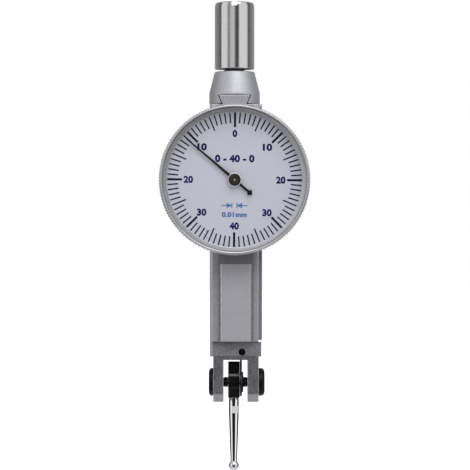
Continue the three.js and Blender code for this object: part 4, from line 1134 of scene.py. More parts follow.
class INDICATOR_OT_clamp(PieceOperator, bpy.types.Operator):
    """Adds the conical clamp that grips the dovetail on the frame's end"""

    bl_idname = "indicator.add_clamp"
    bl_label = "Dovetail clamp"

    def build(self, settings):
        sizes = settings.clamp
        body = settings.frame
        low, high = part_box("dovetail_clamp")
        arm_top = high_of("side_cover").z
        bore = high_of("clamp_stud").x + sizes.stud_gap
        outline = [
            (bore, low.z),
            (high.x, low.z),
            (high.x, high.z - sizes.cone_height),
            (sizes.top_diameter / 2, high.z),
            (bore, high.z),
        ]
        corners = rounded(outline, sizes.edge, 5, closed=False)
        collar = lathe("clamp", corners, "Z", facets=128, closed=True)
        height = body.end_dovetail_height + sizes.slide_gap
        width = body.end_dovetail_width
        reach = high.x + OVERRUN
        groove = dovetail(width, height, arm_top, body.dovetail_angle, 4 * TINY)
        cut(collar, prism("groove", groove, "Y", -reach, reach))
        mouth = dovetail(width, height + TINY, arm_top, body.dovetail_angle, sizes.flank_gap)
        for side in (-1, 1):
            ends = sorted((side * sizes.gap_start, side * reach))
            cut(collar, prism("mouth", mouth, "Y", *ends))
        soften(collar, sizes.mouth_edge, 50)
        ceiling = arm_top + height + sizes.mouth_edge
        small = MM * sizes.mouth_edge

        def on_mouth(face):
            """The narrow bevels round the groove."""
            return face.area < small and face.center.z < ceiling

        # The bevels round the groove get wear and a painted highlight of bare metal
        wear_and_highlight_faces(collar, 0.4, on_mouth)
        dress(shade(collar), "satin_chrome", "dovetail_clamp")


class INDICATOR_OT_frame(PieceOperator, bpy.types.Operator):
    """Adds the main frame: arm, dovetails, dial housing and fork"""

    bl_idname = "indicator.add_frame"
    bl_label = "Main frame"

    def build(self, settings):
        sizes = settings.frame
        edge = sizes.broken_edge
        cover_low, cover_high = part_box("side_cover")
        pivot = middle_of("pivot_axle")
        left = sizes.left
        right = cover_low.x
        half = sizes.depth / 2
        top = cover_high.z
        head = pivot.z + sizes.head_rise
        shoulder = pivot.z + sizes.shoulder_rise
        end = low_of("main_frame").z
        corner = edge * 1.5
        inset = edge * 1.7
        foot = head + edge * 1.4
        outline = [
            (left, -half + sizes.edge),
            (left + sizes.edge, -half),
            (right, -half),
            (right, half),
            (left + sizes.edge, half),
            (left, half - sizes.edge),
        ]
        body = prism("frame", rounded(outline, corner, 3), "Z", head, top, edge, wear=0.5)
        head_half = sizes.head_half
        head_right = cover_high.x - sizes.head_inset
        head_outline = [
            (left, -head_half + sizes.edge),
            (left + sizes.edge, -head_half),
            (head_right, -head_half),
            (head_right, head_half),
            (left + sizes.edge, head_half),
            (left, head_half - sizes.edge),
        ]
        corners = rounded(head_outline, corner, 3)
        head_block = prism("head", corners, "Z", shoulder, head + 3 * TINY, edge * RIM_SHARE, wear=0.5)
        fork_outline = [
            (-head_half, shoulder + OVERRUN),
            (-head_half, end + sizes.fork_chamfer),
            (-head_half + sizes.fork_chamfer, end),
            (head_half - sizes.fork_chamfer, end),
            (head_half, end + sizes.fork_chamfer),
            (head_half, shoulder + OVERRUN),
        ]
        corners = rounded(fork_outline, edge * 2, 3)
        fork = prism("fork", corners, "X", sizes.fork_left, sizes.fork_right, edge * 1.4, wear=0.6)
        slope = sizes.dovetail_angle
        end_outline = dovetail(sizes.end_dovetail_width, sizes.end_dovetail_height, top, slope)
        corners = rounded(end_outline, corner, 3)
        end_piece = prism("end_tail", corners, "Y", inset - half, half - inset, edge, wear=0.4)
        middle = (left + cover_high.x) / 2
        side_outline = dovetail(sizes.side_dovetail_width, sizes.side_dovetail_height, half, slope)
        tails = []
        tail_edge = sizes.tail_edge
        for side, reach in ((-1, sizes.front_dovetail_length), (1, sizes.rear_dovetail_length)):
            outline = [(middle + u, side * v) for u, v in rounded(side_outline, tail_edge * 1.2, 3)]
            tails.append(prism("tail", outline, "Z", foot, head + reach, tail_edge, wear=1))
        join(body, head_block, fork, end_piece, *tails, self.housing(settings, half))
        self.hollow(settings, body, (left, right), (head, top), end)

        def on_slope(face):
            """The chamfers and flanks that run up the arm, between its front and its sides."""
            return abs(face.normal.x) > 0.6 and abs(face.normal.y) > 0.6

        # The chamfers and flanks get wear and a painted highlight of bare metal
        wear_and_highlight_faces(body, 0.65, on_slope)
        dress(shade(body), "frame_chrome", "main_frame")

    def housing(self, settings, half):
        sizes = settings.housing
        radius = high_of("main_frame").x
        face = -half
        shoulder = face - sizes.shoulder
        front = face - sizes.spigot_front
        groove = shoulder - sizes.groove_start
        spigot = sizes.spigot_radius
        root = face + MM / 2
        root_radius = radius / 3
        outline = [
            (0, root),
            (root_radius, root),
            (root_radius, face),
            (radius - sizes.edge, face),
            (radius, face - sizes.edge),
            (radius, shoulder),
            (spigot, shoulder),
            (spigot, groove),
            (spigot - sizes.groove_depth, groove),
            (spigot - sizes.groove_depth, groove - sizes.groove_width),
            (spigot, groove - sizes.groove_width),
            (spigot, front),
            (sizes.bore_radius, front),
            (sizes.bore_radius, face - sizes.floor),
            (0, face - sizes.floor),
        ]
        dial = middle_of("dial_plate")
        corners = rounded(outline, settings.frame.broken_edge, 3, closed=False)
        return lathe("housing", corners, "Y", (dial.x, dial.z), facets=144)

    def hollow(self, settings, body, sides, ends, fork_end):
        sizes = settings.frame
        pivot = middle_of("pivot_axle")
        dial = middle_of("dial_plate")
        half = sizes.depth / 2 - sizes.wall
        cavity_low = (sides[0] + sizes.side_wall, -half, ends[0] + sizes.bottom_wall)
        cavity_high = (sides[1] + OVERRUN, half, ends[1] - sizes.top_wall)
        front = sizes.head_half
        deep = front + OVERRUN
        chamfer = sizes.slot_chamfer
        slot_outline = []
        for side, turn in ((sizes.slot_right, 1), (sizes.slot_left, -1)):
            wide = side + turn * chamfer
            flank = [(wide, -deep), (wide, -front), (side, chamfer - front)]
            flank += [(side, front - chamfer), (wide, front), (wide, deep)]
            slot_outline += flank if turn > 0 else reversed(flank)
        slot_top = pivot.z + sizes.slot_rise
        lever_low, lever_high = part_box("sector_lever")
        gap = sizes.channel_gap
        channel = sizes.channel_half
        stop = middle_of("travel_stop_front")
        stop_bore = high_of("travel_stop_front").x - stop.x + TINY
        jewel_low, jewel_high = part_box("crown_jewel_left")
        relief = [(-deep, ends[0] + 5 * TINY), (deep, ends[0] - sizes.relief_drop)]
        relief += [(deep, ends[0] + OVERRUN), (-deep, ends[0] + OVERRUN)]
        tools = [
            block("cavity", cavity_low, cavity_high),
            prism("slot", slot_outline, "Z", fork_end - OVERRUN, slot_top),
            block(
                "channel",
                (lever_low.x - gap, -channel, slot_top - OVERRUN),
                (lever_high.x + gap, channel, cavity_low[2] + OVERRUN),
            ),
            rod(
                "bores",
                settings.pivot.shank_radius + 4 * TINY,
                "X",
                sizes.fork_left - OVERRUN,
                sizes.fork_right + OVERRUN,
                (pivot.y, pivot.z),
            ),
            chamfered_hole("stops", stop_bore, "Y", sizes.head_half, (stop.x, stop.z)),
            rod("pocket", jewel_high.y + TINY, "X", jewel_low.x, jewel_high.x + OVERRUN, (0, dial.z)),
            rod("opening", sizes.opening_radius, "Y", -sizes.depth, OVERRUN - half, (dial.x, dial.z)),
            prism("relief", relief, "X", sides[1] + 2 * TINY, sides[1] + 2 * OVERRUN),
        ]
        cover = settings.cover
        for i in range(1, 5):
            spot = middle_of(f"side_cover_screw_{i}")
            low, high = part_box(f"side_cover_screw_{i}")
            tools.append(countersink(cover, high.y - spot.y, low.x, high.x, (spot.y, spot.z)))
        cut(body, *tools)


def countersink(sizes, head, start, face, centre):
    """A tool for a cover screw's hole along X, up to the face that its head is sunk in."""
    shank = sizes.shank_radius + TINY
    mouth = head + 2 * TINY
    outline = [
        (0, start),
        (shank, start),
        (shank, face - sizes.head_height),
        (mouth, face),
        (mouth, face + OVERRUN),
        (0, face + OVERRUN),
    ]
    return lathe("countersink", outline, "X", centre, 48)


def chamfered_hole(name, radius, axis, half, centre):
    """A tool for a hole right through, from -half to half, with both mouths chamfered."""
    chamfer = STOP_HOLE_CHAMFER
    outline = [
        (0, -half - OVERRUN),
        (radius + chamfer, -half - OVERRUN),
        (radius + chamfer, -half),
        (radius, chamfer - half),
        (radius, half - chamfer),
        (radius + chamfer, half),
        (radius + chamfer, half + OVERRUN),
        (0, half + OVERRUN),
    ]
    return lathe(name, outline, axis, centre, 48)


class INDICATOR_OT_cover(PieceOperator, bpy.types.Operator):
    """Adds the side cover and its four countersunk screws"""

    bl_idname = "indicator.add_cover"
    bl_label = "Side cover"

    def build(self, settings):
        sizes = settings.cover
        low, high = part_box("side_cover")
        end = low.z + sizes.end_gap
        corners = [(low.y, end), (high.y, end), (high.y, high.z), (low.y, high.z)]
        plate = prism("cover", rounded(corners, sizes.corner, 5), "X", low.x, high.x, sizes.edge, wear=0.8)
        for i, turn in enumerate(COVER_SCREW_TURNS, start=1):
            node = f"side_cover_screw_{i}"
            screw_low, screw_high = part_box(node)
            spot = middle_of(node)
            centre = (spot.y, spot.z)
            head = screw_high.y - spot.y
            face = screw_high.x
            shoulder = face - sizes.head_height
            shank = sizes.shank_radius
            cut(plate, countersink(sizes, head, low.x - OVERRUN, face, centre))
            sunk = face - 3 * TINY
            outline = [(0, screw_low.x), (shank - TINY, screw_low.x), (shank - TINY, shoulder)]
            outline += [(head - TINY, sunk - COVER_SCREW_RIM), (head - TINY, sunk), (0, sunk)]
            corners = rounded(outline, COVER_SCREW_EDGE, 2, closed=False)
            screw = lathe(f"cover_screw_{i}", corners, "X", centre, 48)
            cut_slot(screw, centre, sunk, 1, sizes.slot_width, sizes.slot_depth, head, turn)
            dress(shade(screw), "black_steel", node)
        dress(shade(plate), "blasted_steel", "side_cover")


def cut_slot(head, centre, face, out, width, depth, radius, turn):
    """Cuts a screwdriver slot into a head that faces along X. turn is in degrees."""
    half = width / 2
    reach = radius + OVERRUN
    ends = sorted((face - out * depth, face + out * OVERRUN))
    slot = block("slot", (ends[0], -reach, -half), (ends[1], reach, half))
    slot.data.transform(Matrix.Rotation(math.radians(turn), 4, "X"))
    slot.data.transform(Matrix.Translation((0, centre[0], centre[1])))
    cut(head, slot)


class INDICATOR_OT_bezel(PieceOperator, bpy.types.Operator):
    """Adds the knurled bezel and the crystal that it holds"""

    bl_idname = "indicator.add_bezel"
    bl_label = "Bezel and crystal"

    def build(self, settings):
        sizes = settings.bezel
        low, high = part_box("bezel")
        back = high.y
        front = low.y
        root = high.x - sizes.knurl_depth
        knurl_back = back - sizes.knurl_inset
        knurl_front = knurl_back - sizes.knurl_length
        seat = high_of("crystal").y
        dial_face = low_of("dial_plate").y
        rise = sizes.run_out
        steps = 3
        knurl = [(root, knurl_back - rise * i / steps) for i in range(steps + 1)]
        knurl += [(root, knurl_front + rise * (steps - i) / steps) for i in range(steps + 1)]
        lip = [
            (root, knurl_front),
            (sizes.lip_radius, front),
            (sizes.lip_bore, front),
            (sizes.lip_bore, seat),
        ]
        lip = rounded(lip, sizes.lip_edge, 4, closed=False)
        slope_end = seat + sizes.funnel_depth
        window = [
            (sizes.relief_inner, seat),
            (sizes.window_radius, slope_end),
            (sizes.window_radius, dial_face),
        ]
        window = rounded(window, sizes.window_edge, 4, closed=False)
        profile = [
            (sizes.skirt_radius, back),
            (root - sizes.back_chamfer, back),
            (root, back - sizes.back_chamfer),
            *knurl,
            *lip[1:-1],
            (sizes.lip_bore, seat + sizes.relief_depth),
            (sizes.relief_inner, seat + sizes.relief_depth),
            *window,
            (sizes.skirt_radius, dial_face),
        ]
        samples = (0, 0.6, 1, 1, 0.6, 0)

        def teeth(reach, along, turn):
            depth = min(knurl_back - along, along - knurl_front) / rise
            if depth <= 0 or reach < root - TINY:
                return reach
            index = round(turn / (2 * math.pi) * sizes.teeth * len(samples))
            return reach + sizes.knurl_depth * samples[index % len(samples)] * min(1.0, depth) ** 0.5

        centre = (middle_of("bezel").x, middle_of("bezel").z)
        facets = sizes.teeth * len(samples)
        ring = lathe("bezel_ring", profile, "Y", centre, facets, closed=True, swell=teeth)
        dress(shade(ring, 33), "bezel_chrome", "bezel")
        dress(self.crystal(settings.crystal, centre), "crystal_clear", "crystal")

    def crystal(self, sizes, centre):
        low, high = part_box("crystal")
        radius = high.x
        edge = high.y - sizes.edge
        face = edge - sizes.bevel
        crown = face - low.y
        steps = 12
        flat = radius - sizes.bevel
        dome = [(flat * (1 - i / steps), face - crown * (1 - (1 - i / steps) ** 2)) for i in range(steps + 1)]
        outline = [(0, high.y), (radius - 2 * TINY, high.y), (radius - 2 * TINY, edge), *dome]
        return shade(lathe("crystal_glass", outline, "Y", centre, 192), 20)


class INDICATOR_OT_dial(PieceOperator, bpy.types.Operator):
    """Adds the dial with its graduations, numbers and small marks"""

    bl_idname = "indicator.add_dial"
    bl_label = "Dial"

    def build(self, settings):
        sizes = settings.dial
        low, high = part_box("dial_plate")
        centre = middle_of("dial_plate")
        face = Vector((centre.x, low.y, centre.z))
        outline = [(DIAL_HOLE, high.y), (high.x, high.y), (high.x, low.y), (DIAL_HOLE, low.y)]
        corners = rounded(outline, DIAL_EDGE, 3)
        plate = lathe("dial_face", corners, "Y", (centre.x, centre.z), 192, closed=True)
        dress(shade(plate), "dial_paint", "dial_plate")
        twist = Matrix.Translation(face) @ Matrix.Rotation(sizes.turn, 4, "Y") @ Matrix.Translation(-face)
        prints = (
            (graduations(sizes, face), "graduation_ink"),
            (numbers(sizes, face), "number_ink"),
            (range_figures(sizes, face), "number_ink"),
            (small_marks(sizes, face), "pale_ink"),
        )
        for made, ink in prints:
            made.data.transform(twist)
            dress(made, ink, "dial_plate", stands_for=False)


def graduations(sizes, face):
    builder = bmesh.new()
    for i in range(sizes.divisions):
        numbered = i % sizes.step == 0
        long = i % (sizes.step // 2) == 0
        inner = sizes.major_inner if long else sizes.minor_inner
        half = (sizes.major_width if numbered else sizes.minor_width) / 2
        turn = Matrix.Rotation(2 * math.pi * i / sizes.divisions, 4, "Y")
        corners = []
        for y in (TINY, -sizes.ink):
            for x, z in ((-half, inner), (half, inner), (half, sizes.outer), (-half, sizes.outer)):
                corners.append(builder.verts.new(face + turn @ Vector((x, y, z))))
        builder.faces.new(corners[:4])
        builder.faces.new(corners[4:])
        for k in range(4):
            n = (k + 1) % 4
            builder.faces.new([corners[k], corners[n], corners[n + 4], corners[k + 4]])
    return object_from("dial_graduations", builder)


def figures(name, words, width, height, spot, ink, face, weight=0.055):
    """Plain figures of an exact width and height, centred on a spot. weight thickens the strokes."""
    curve = bpy.data.curves.new(name, "FONT")
    curve.body = words
    curve.offset = weight
    curve.space_character = 1 + weight
    curve.extrude = 0.5
    made = add_object(name, curve)
    depsgraph = bpy.context.evaluated_depsgraph_get()
    mesh = bpy.data.meshes.new_from_object(made.evaluated_get(depsgraph))
    bpy.data.objects.remove(made)
    points = [vertex.co for vertex in mesh.vertices]
    low = Vector([min(p[k] for p in points) for k in range(3)])
    high = Vector([max(p[k] for p in points) for k in range(3)])
    middle = (low + high) / 2
    size = high - low
    for vertex in mesh.vertices:
        place = vertex.co - middle
        across = spot[0] + place.x / size.x * width
        up = spot[1] + place.y / size.y * height
        out = ink / 2 - TINY / 2 + place.z / size.z * ink
        vertex.co = face + Vector((across, -out, up))
    return add_object(name, mesh)


def numbers(sizes, face):
    parts = []
    count = sizes.divisions // sizes.step
    for i in range(count):
        digits = str(min(i, count - i) * sizes.step)
        turn = 2 * math.pi * i / count
        spot = Vector((math.sin(turn), math.cos(turn))) * sizes.number_radius
        width = sizes.digit_width * len(digits)
        parts.append(figures("number", digits, width, sizes.number_height, spot, sizes.ink, face))
    return merged("dial_numbers", parts)


def range_figures(sizes, face):
    spot = (0, sizes.range_rise)
    width = sizes.range_width
    return figures("dial_range", sizes.range_text, width, sizes.range_height, spot, sizes.ink, face)


def small_marks(sizes, face):
    """The value of a division, and two arrows for the two directions of travel."""
    spot = (0, -sizes.value_drop)
    width = sizes.value_width
    height = sizes.value_height
    parts = [figures("value", sizes.value_text, width, height, spot, sizes.ink, face, weight=0.06)]
    tall = height * ARROW_SHARE
    thin = tall * ARROW_LINE_SHARE
    tail = sizes.arrow_start
    bar = sizes.arrow_end
    tip = bar + thin * ARROW_BAR_SHARE
    neck = tip + tall * ARROW_HEAD_SHARE
    outline = [(bar, -tall), (tip, -tall), (tip, -thin), (neck, -tall), (neck, -thin), (tail, -thin)]
    outline += [(u, -v) for u, v in reversed(outline)]
    for side in (-1, 1):
        placed = [(face.x + side * u, face.z - sizes.arrow_drop + v) for u, v in outline]
        parts.append(prism("arrow", placed, "Y", face.y - sizes.ink, face.y + TINY))
    return merged("dial_marks", parts)


class INDICATOR_OT_pointer(PieceOperator, bpy.types.Operator):
    """Adds the pointer hand and its hub"""

    bl_idname = "indicator.add_pointer"
    bl_label = "Pointer"

    def build(self, settings):
        sizes = settings.pointer
        low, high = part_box("pointer_hand")
        centre = middle_of("pointer_hub")
        root = sizes.root_width / 2
        tip = sizes.tip_width / 2
        tail = sizes.tail_width / 2
        square = sizes.weight_side * math.sqrt(0.5)
        end = sizes.tail_reach
        right = [
            (tip, sizes.reach - 2 * tip),
            (root, 0),
            (tail, 0),
            (tail, 2 * square - tail - end),
            (square, square - end),
        ]
        left = [(-u, v) for u, v in reversed(right)]
        hand = prism("hand", [(0, sizes.reach), *right, (0, -end), *left], "Y", low.y, high.y)
        join(hand, rod("boss", sizes.boss_radius, "Y", low.y, high.y, facets=64))
        turn = -sizes.rest * 2 * math.pi / settings.dial.divisions
        hand.data.transform(Matrix.Rotation(turn, 4, "Y"))
        hand.data.transform(Matrix.Translation((centre.x, 0, centre.z)))
        soften(hand, sizes.edge, 30)
        dress(shade(hand), "hand_paint", "pointer_hand")
        dress(self.hub(sizes, low.y, centre), "hub_metal", "pointer_hub")

    def hub(self, sizes, hand_face, centre):
        low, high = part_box("pointer_hub")
        radius = high.x + sizes.hub_rim
        steps = 8
        dimple = []
        for i in range(steps + 1):
            t = 1 - i / steps
            dimple.append((sizes.dimple_radius * t, low.y + sizes.dimple_depth * (1 - t**2)))
        outline = [
            (0, high.y),
            (sizes.hub_neck, high.y),
            (sizes.hub_neck, hand_face - TINY),
            (radius, hand_face - TINY),
            (radius, low.y + sizes.hub_edge),
            (radius - sizes.hub_edge, low.y),
            *dimple,
        ]
        corners = rounded(outline, HUB_CORNER, 3, closed=False)
        return shade(lathe("hub", corners, "Y", (centre.x, centre.z), 96))


class INDICATOR_OT_pivot(PieceOperator, bpy.types.Operator):
    """Adds the two pivot screws, the spacers, the washer and the travel stops"""

    bl_idname = "indicator.add_pivot"
    bl_label = "Pivot"

    def build(self, settings):
        sizes = settings.pivot
        pivot = middle_of("pivot_axle")
        centre = (pivot.y, pivot.z)
        body = settings.frame
        screws = (
            ("left", body.fork_left, LEFT_SCREW_TURN),
            ("right", body.fork_right, RIGHT_SCREW_TURN),
        )
        for side, seat, turn in screws:
            node = f"pivot_screw_{side}"
            dress(self.screw(sizes, node, seat, centre, turn), "black_steel", node)
        for side in ("left", "right"):
            node = f"pivot_spacer_{side}"
            low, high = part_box(node)
            ends = (low.x - sizes.take_up, high.x + sizes.take_up)
            rounding = (sizes.spacer_edge, sizes.take_up)
            if side == "right":
                rounding = (sizes.take_up, sizes.spacer_edge)
            spacer = self.collar(f"spacer_{side}", sizes, high.z - pivot.z, centre, ends, rounding)
            dress(spacer, "black_steel", node)
        low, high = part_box("friction_washer")
        ends = (low.x - TINY, high.x + sizes.take_up)
        washer = self.collar("washer", sizes, high.z - pivot.z, centre, ends, (sizes.take_up, sizes.take_up))
        dress(washer, "black_steel", "friction_washer")
        for side, out in (("front", -1), ("rear", 1)):
            node = f"travel_stop_{side}"
            dress(self.stop(node, out), "black_steel", node)

    def collar(self, name, sizes, radius, centre, ends, rounding):
        """A ring round the axle. rounding is the radius of its left and of its right edge."""
        bore = sizes.axle_radius + TINY
        left, right = ends
        outline = [
            (bore, left),
            *arc((radius - rounding[0], left + rounding[0]), rounding[0], -90, 0, 6),
            *arc((radius - rounding[1], right - rounding[1]), rounding[1], 0, 90, 6),
            (bore, right),
        ]
        return shade(lathe(name, outline, "X", centre, 96, closed=True))

    def screw(self, sizes, node, seat, centre, turn):
        low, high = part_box(node)
        radius = high.z - centre[1]
        face, tip, out = (low.x, high.x, -1) if seat < 0 else (high.x, low.x, 1)
        side = seat + (face - seat) * sizes.head_side
        flat = radius * sizes.head_flat
        steps = 7
        dome = []
        for i in range(steps + 1):
            t = math.pi / 2 * i / steps
            dome.append((flat + (radius - flat) * math.cos(t), side + (face - side) * math.sin(t)))
        shank = sizes.shank_radius
        outline = [(0, tip), (shank, tip), (shank, seat), (radius, seat), *dome, (0, face)]
        corners = rounded(outline, PIVOT_HEAD_EDGE, 3, closed=False)
        made = lathe(f"{node}_head", corners, "X", centre, 96)
        cut_slot(made, centre, face, out, sizes.slot_width, sizes.slot_depth, radius, turn)
        return shade(soften(made, PIVOT_SLOT_EDGE, 45))

    def stop(self, node, out):
        low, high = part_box(node)
        spot = middle_of(node)
        radius = (high.x - spot.x) * STOP_SHARE
        face, tip = (low.y, high.y) if out < 0 else (high.y, low.y)
        narrow = radius * STOP_TIP_SHARE
        outline = [(0, tip), (narrow, tip), (radius, tip + out * STOP_TIP), (radius, face), (0, face)]
        corners = rounded(outline, STOP_EDGE, 3, closed=False)
        made = lathe(f"{node}_screw", corners, "Y", (spot.x, spot.z), 48)
        ends = sorted((face - out * STOP_SLOT_DEPTH, face + out * OVERRUN))
        half = STOP_SLOT_WIDTH / 2
        reach = radius + OVERRUN
        slot_low = (spot.x - reach, ends[0], spot.z - half)
        slot_high = (spot.x + reach, ends[1], spot.z + half)
        cut(made, block("slot", slot_low, slot_high))
        return shade(made)


class INDICATOR_OT_lever(PieceOperator, bpy.types.Operator):
    """Adds the lever with its toothed sector"""

    bl_idname = "indicator.add_lever"
    bl_label = "Lever"

    def build(self, settings):
        sizes = settings.lever
        low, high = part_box("sector_lever")
        pivot = middle_of("pivot_axle")
        radius = sizes.sector_radius
        pitch = 2 * math.pi / sizes.teeth_per_turn
        root = radius - DEDENDUM_SHARE * sizes.tooth_module
        tip = high.z - pivot.z
        edge = sizes.teeth * pitch / 2
        half_root = TOOTH_ROOT_SHARE * pitch
        half_tip = TOOTH_TIP_SHARE * pitch

        def at(reach, turn):
            return (reach * math.sin(turn), reach * math.cos(turn))

        lobe = math.degrees(math.asin(sizes.half_width / sizes.lobe_radius))
        outline = arc((0, 0), sizes.lobe_radius, 90 + lobe, 450 - lobe, 48)
        outline += [(sizes.half_width, sizes.waist_rise), (sizes.neck_half, radius - sizes.neck_drop)]
        outline += [at(radius - sizes.sector_depth, edge), at(root, edge)]
        for i in reversed(range(sizes.teeth)):
            middle = (i - (sizes.teeth - 1) / 2) * pitch
            outline += [at(root, middle + half_root), at(tip, middle + half_tip)]
            outline += [at(tip, middle - half_tip), at(root, middle - half_root)]
        outline += [at(root, -edge), at(radius - sizes.sector_depth, -edge)]
        outline += [(-sizes.neck_half, radius - sizes.neck_drop), (-sizes.half_width, sizes.waist_rise)]
        placed = [(pivot.y + u, pivot.z + v) for u, v in outline]
        right = high.x + settings.pivot.take_up
        plate = prism("lever_plate", placed, "X", low.x, right, sizes.edge, 2, wear=0.15)
        bore = settings.pivot.axle_radius + TINY
        cut(plate, rod("bore", bore, "X", low.x - OVERRUN, high.x + OVERRUN, (pivot.y, pivot.z)))
        dress(shade(plate), "black_steel", "sector_lever")


class INDICATOR_OT_stylus(PieceOperator, bpy.types.Operator):
    """Adds the stylus: its carrier, the shank with its spanner flats, and the ball"""

    bl_idname = "indicator.add_stylus"
    bl_label = "Stylus"

    def build(self, settings):
        sizes = settings.stylus
        low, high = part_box("stylus_carrier")
        shank_end = high_of("stylus_shank").z
        pivot = middle_of("pivot_axle")
        centre = (pivot.y, pivot.z)
        ball = middle_of("stylus_ball")
        edge = sizes.edge
        hub = sizes.hub_half
        rise = pivot.z + sizes.hub_rise
        chamfer = sizes.hub_chamfer
        hub_outline = [
            (hub, rise - chamfer),
            (hub - chamfer, rise),
            (chamfer - hub, rise),
            (-hub, rise - chamfer),
            *arc(centre, hub, 180, 360, 24),
        ]
        right = high.x + settings.pivot.take_up
        carrier = prism("carrier", hub_outline, "X", low.x, right, edge * 0.5)
        tail = sizes.tail_half
        top = pivot.z + sizes.tail_rise
        corner = sizes.tail_chamfer
        tail_outline = [
            (-tail, pivot.z),
            (tail, pivot.z),
            (tail, top - corner),
            (tail - corner, top),
            (corner - tail, top),
            (-tail, top - corner),
        ]
        nose = sizes.nose_half
        nose_end = pivot.z - sizes.nose_drop
        nose_outline = [(-nose, nose_end), (nose, nose_end), (nose, pivot.z), (-nose, pivot.z)]
        for outline in (tail_outline, nose_outline):
            join(carrier, prism("block", rounded(outline, edge, 3), "X", low.x + TINY, right - TINY, edge))
        bore = settings.pivot.axle_radius + 2 * TINY
        socket = sizes.thread_radius + 2 * TINY
        cut(
            carrier,
            rod("bore", bore, "X", low.x - OVERRUN, high.x + OVERRUN, centre),
            rod("socket", socket, "Z", nose_end - OVERRUN, shank_end + TINY, (ball.x, pivot.y)),
        )

        def on_chamfer(face):
            """The two slopes over the hub, which face halfway between up and to the side."""
            return 0.6 < face.normal.z < 0.8 and face.center.z < rise and face.area > MM**2

        # The two slopes get a painted highlight of bare steel
        wear_and_highlight_faces(carrier, 1, on_chamfer)
        dress(shade(carrier), "black_steel", "stylus_carrier")
        dress(self.shank(sizes, nose_end, ball), "polished_steel", "stylus_shank")
        dress(self.ball(sizes, ball), "carbide", "stylus_ball")

    def shank(self, sizes, nose_end, ball):
        low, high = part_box("stylus_shank")
        radius = sizes.shank_radius
        outline = [
            (0, low.z),
            (sizes.tip_radius, low.z),
            (radius, nose_end - sizes.shoulder),
            (radius, nose_end - SHANK_LAND),
            (radius, nose_end),
        ]
        outline = rounded(outline, SHANK_EDGE, 4, closed=False)
        outline += [(sizes.thread_radius, nose_end), (sizes.thread_radius, high.z), (0, high.z)]
        centre = (ball.x, ball.y)
        made = lathe("shank", outline, "Z", centre, 96)
        flat_top = nose_end - sizes.flat_start
        flat_bottom = flat_top - sizes.flat_length
        face = radius - sizes.flat_depth
        reach = radius + OVERRUN
        for side in (-1, 1):
            ends = sorted((side * face, side * reach))
            flat = block("flat", (-reach, ends[0], flat_bottom), (reach, ends[1], flat_top))
            flat.data.transform(Matrix.Rotation(sizes.flat_turn, 4, "Z"))
            flat.data.transform(Matrix.Translation((ball.x, ball.y, 0)))
            cut(made, flat)
        return shade(soften(made, FLAT_EDGE, 50), 30)

    def ball(self, sizes, ball):
        """The ball, with the ring of braze that holds it."""
        radius = sizes.ball_radius
        height = low_of("stylus_ball").z + radius
        steps = 40
        turns = [math.pi * i / steps for i in range(steps + 1)]
        seam = sizes.tip_radius + BRAZE_WIDTH
        neck = height + math.sqrt(radius**2 - seam**2)
        profile = [(radius * math.sin(t), height - radius * math.cos(t)) for t in turns]
        profile = [(reach, z) for reach, z in profile if z < neck]
        profile += [(seam, neck), (seam, neck + BRAZE_HEIGHT), (0, neck + BRAZE_HEIGHT)]
        return shade(lathe("ball", profile, "Z", (ball.x, ball.y), 96), 50)


class INDICATOR_OT_movement(PieceOperator, bpy.types.Operator):
    """Gives the solids that are kept as they are, most of them inside the housing, their finishes"""

    bl_idname = "indicator.finish_movement"
    bl_label = "Movement"

    def build(self, settings):
        for name, node in frame["nodes"].items():
            for slot in node.material_slots:
                slot.material = FINISHES[slot_of(name)]


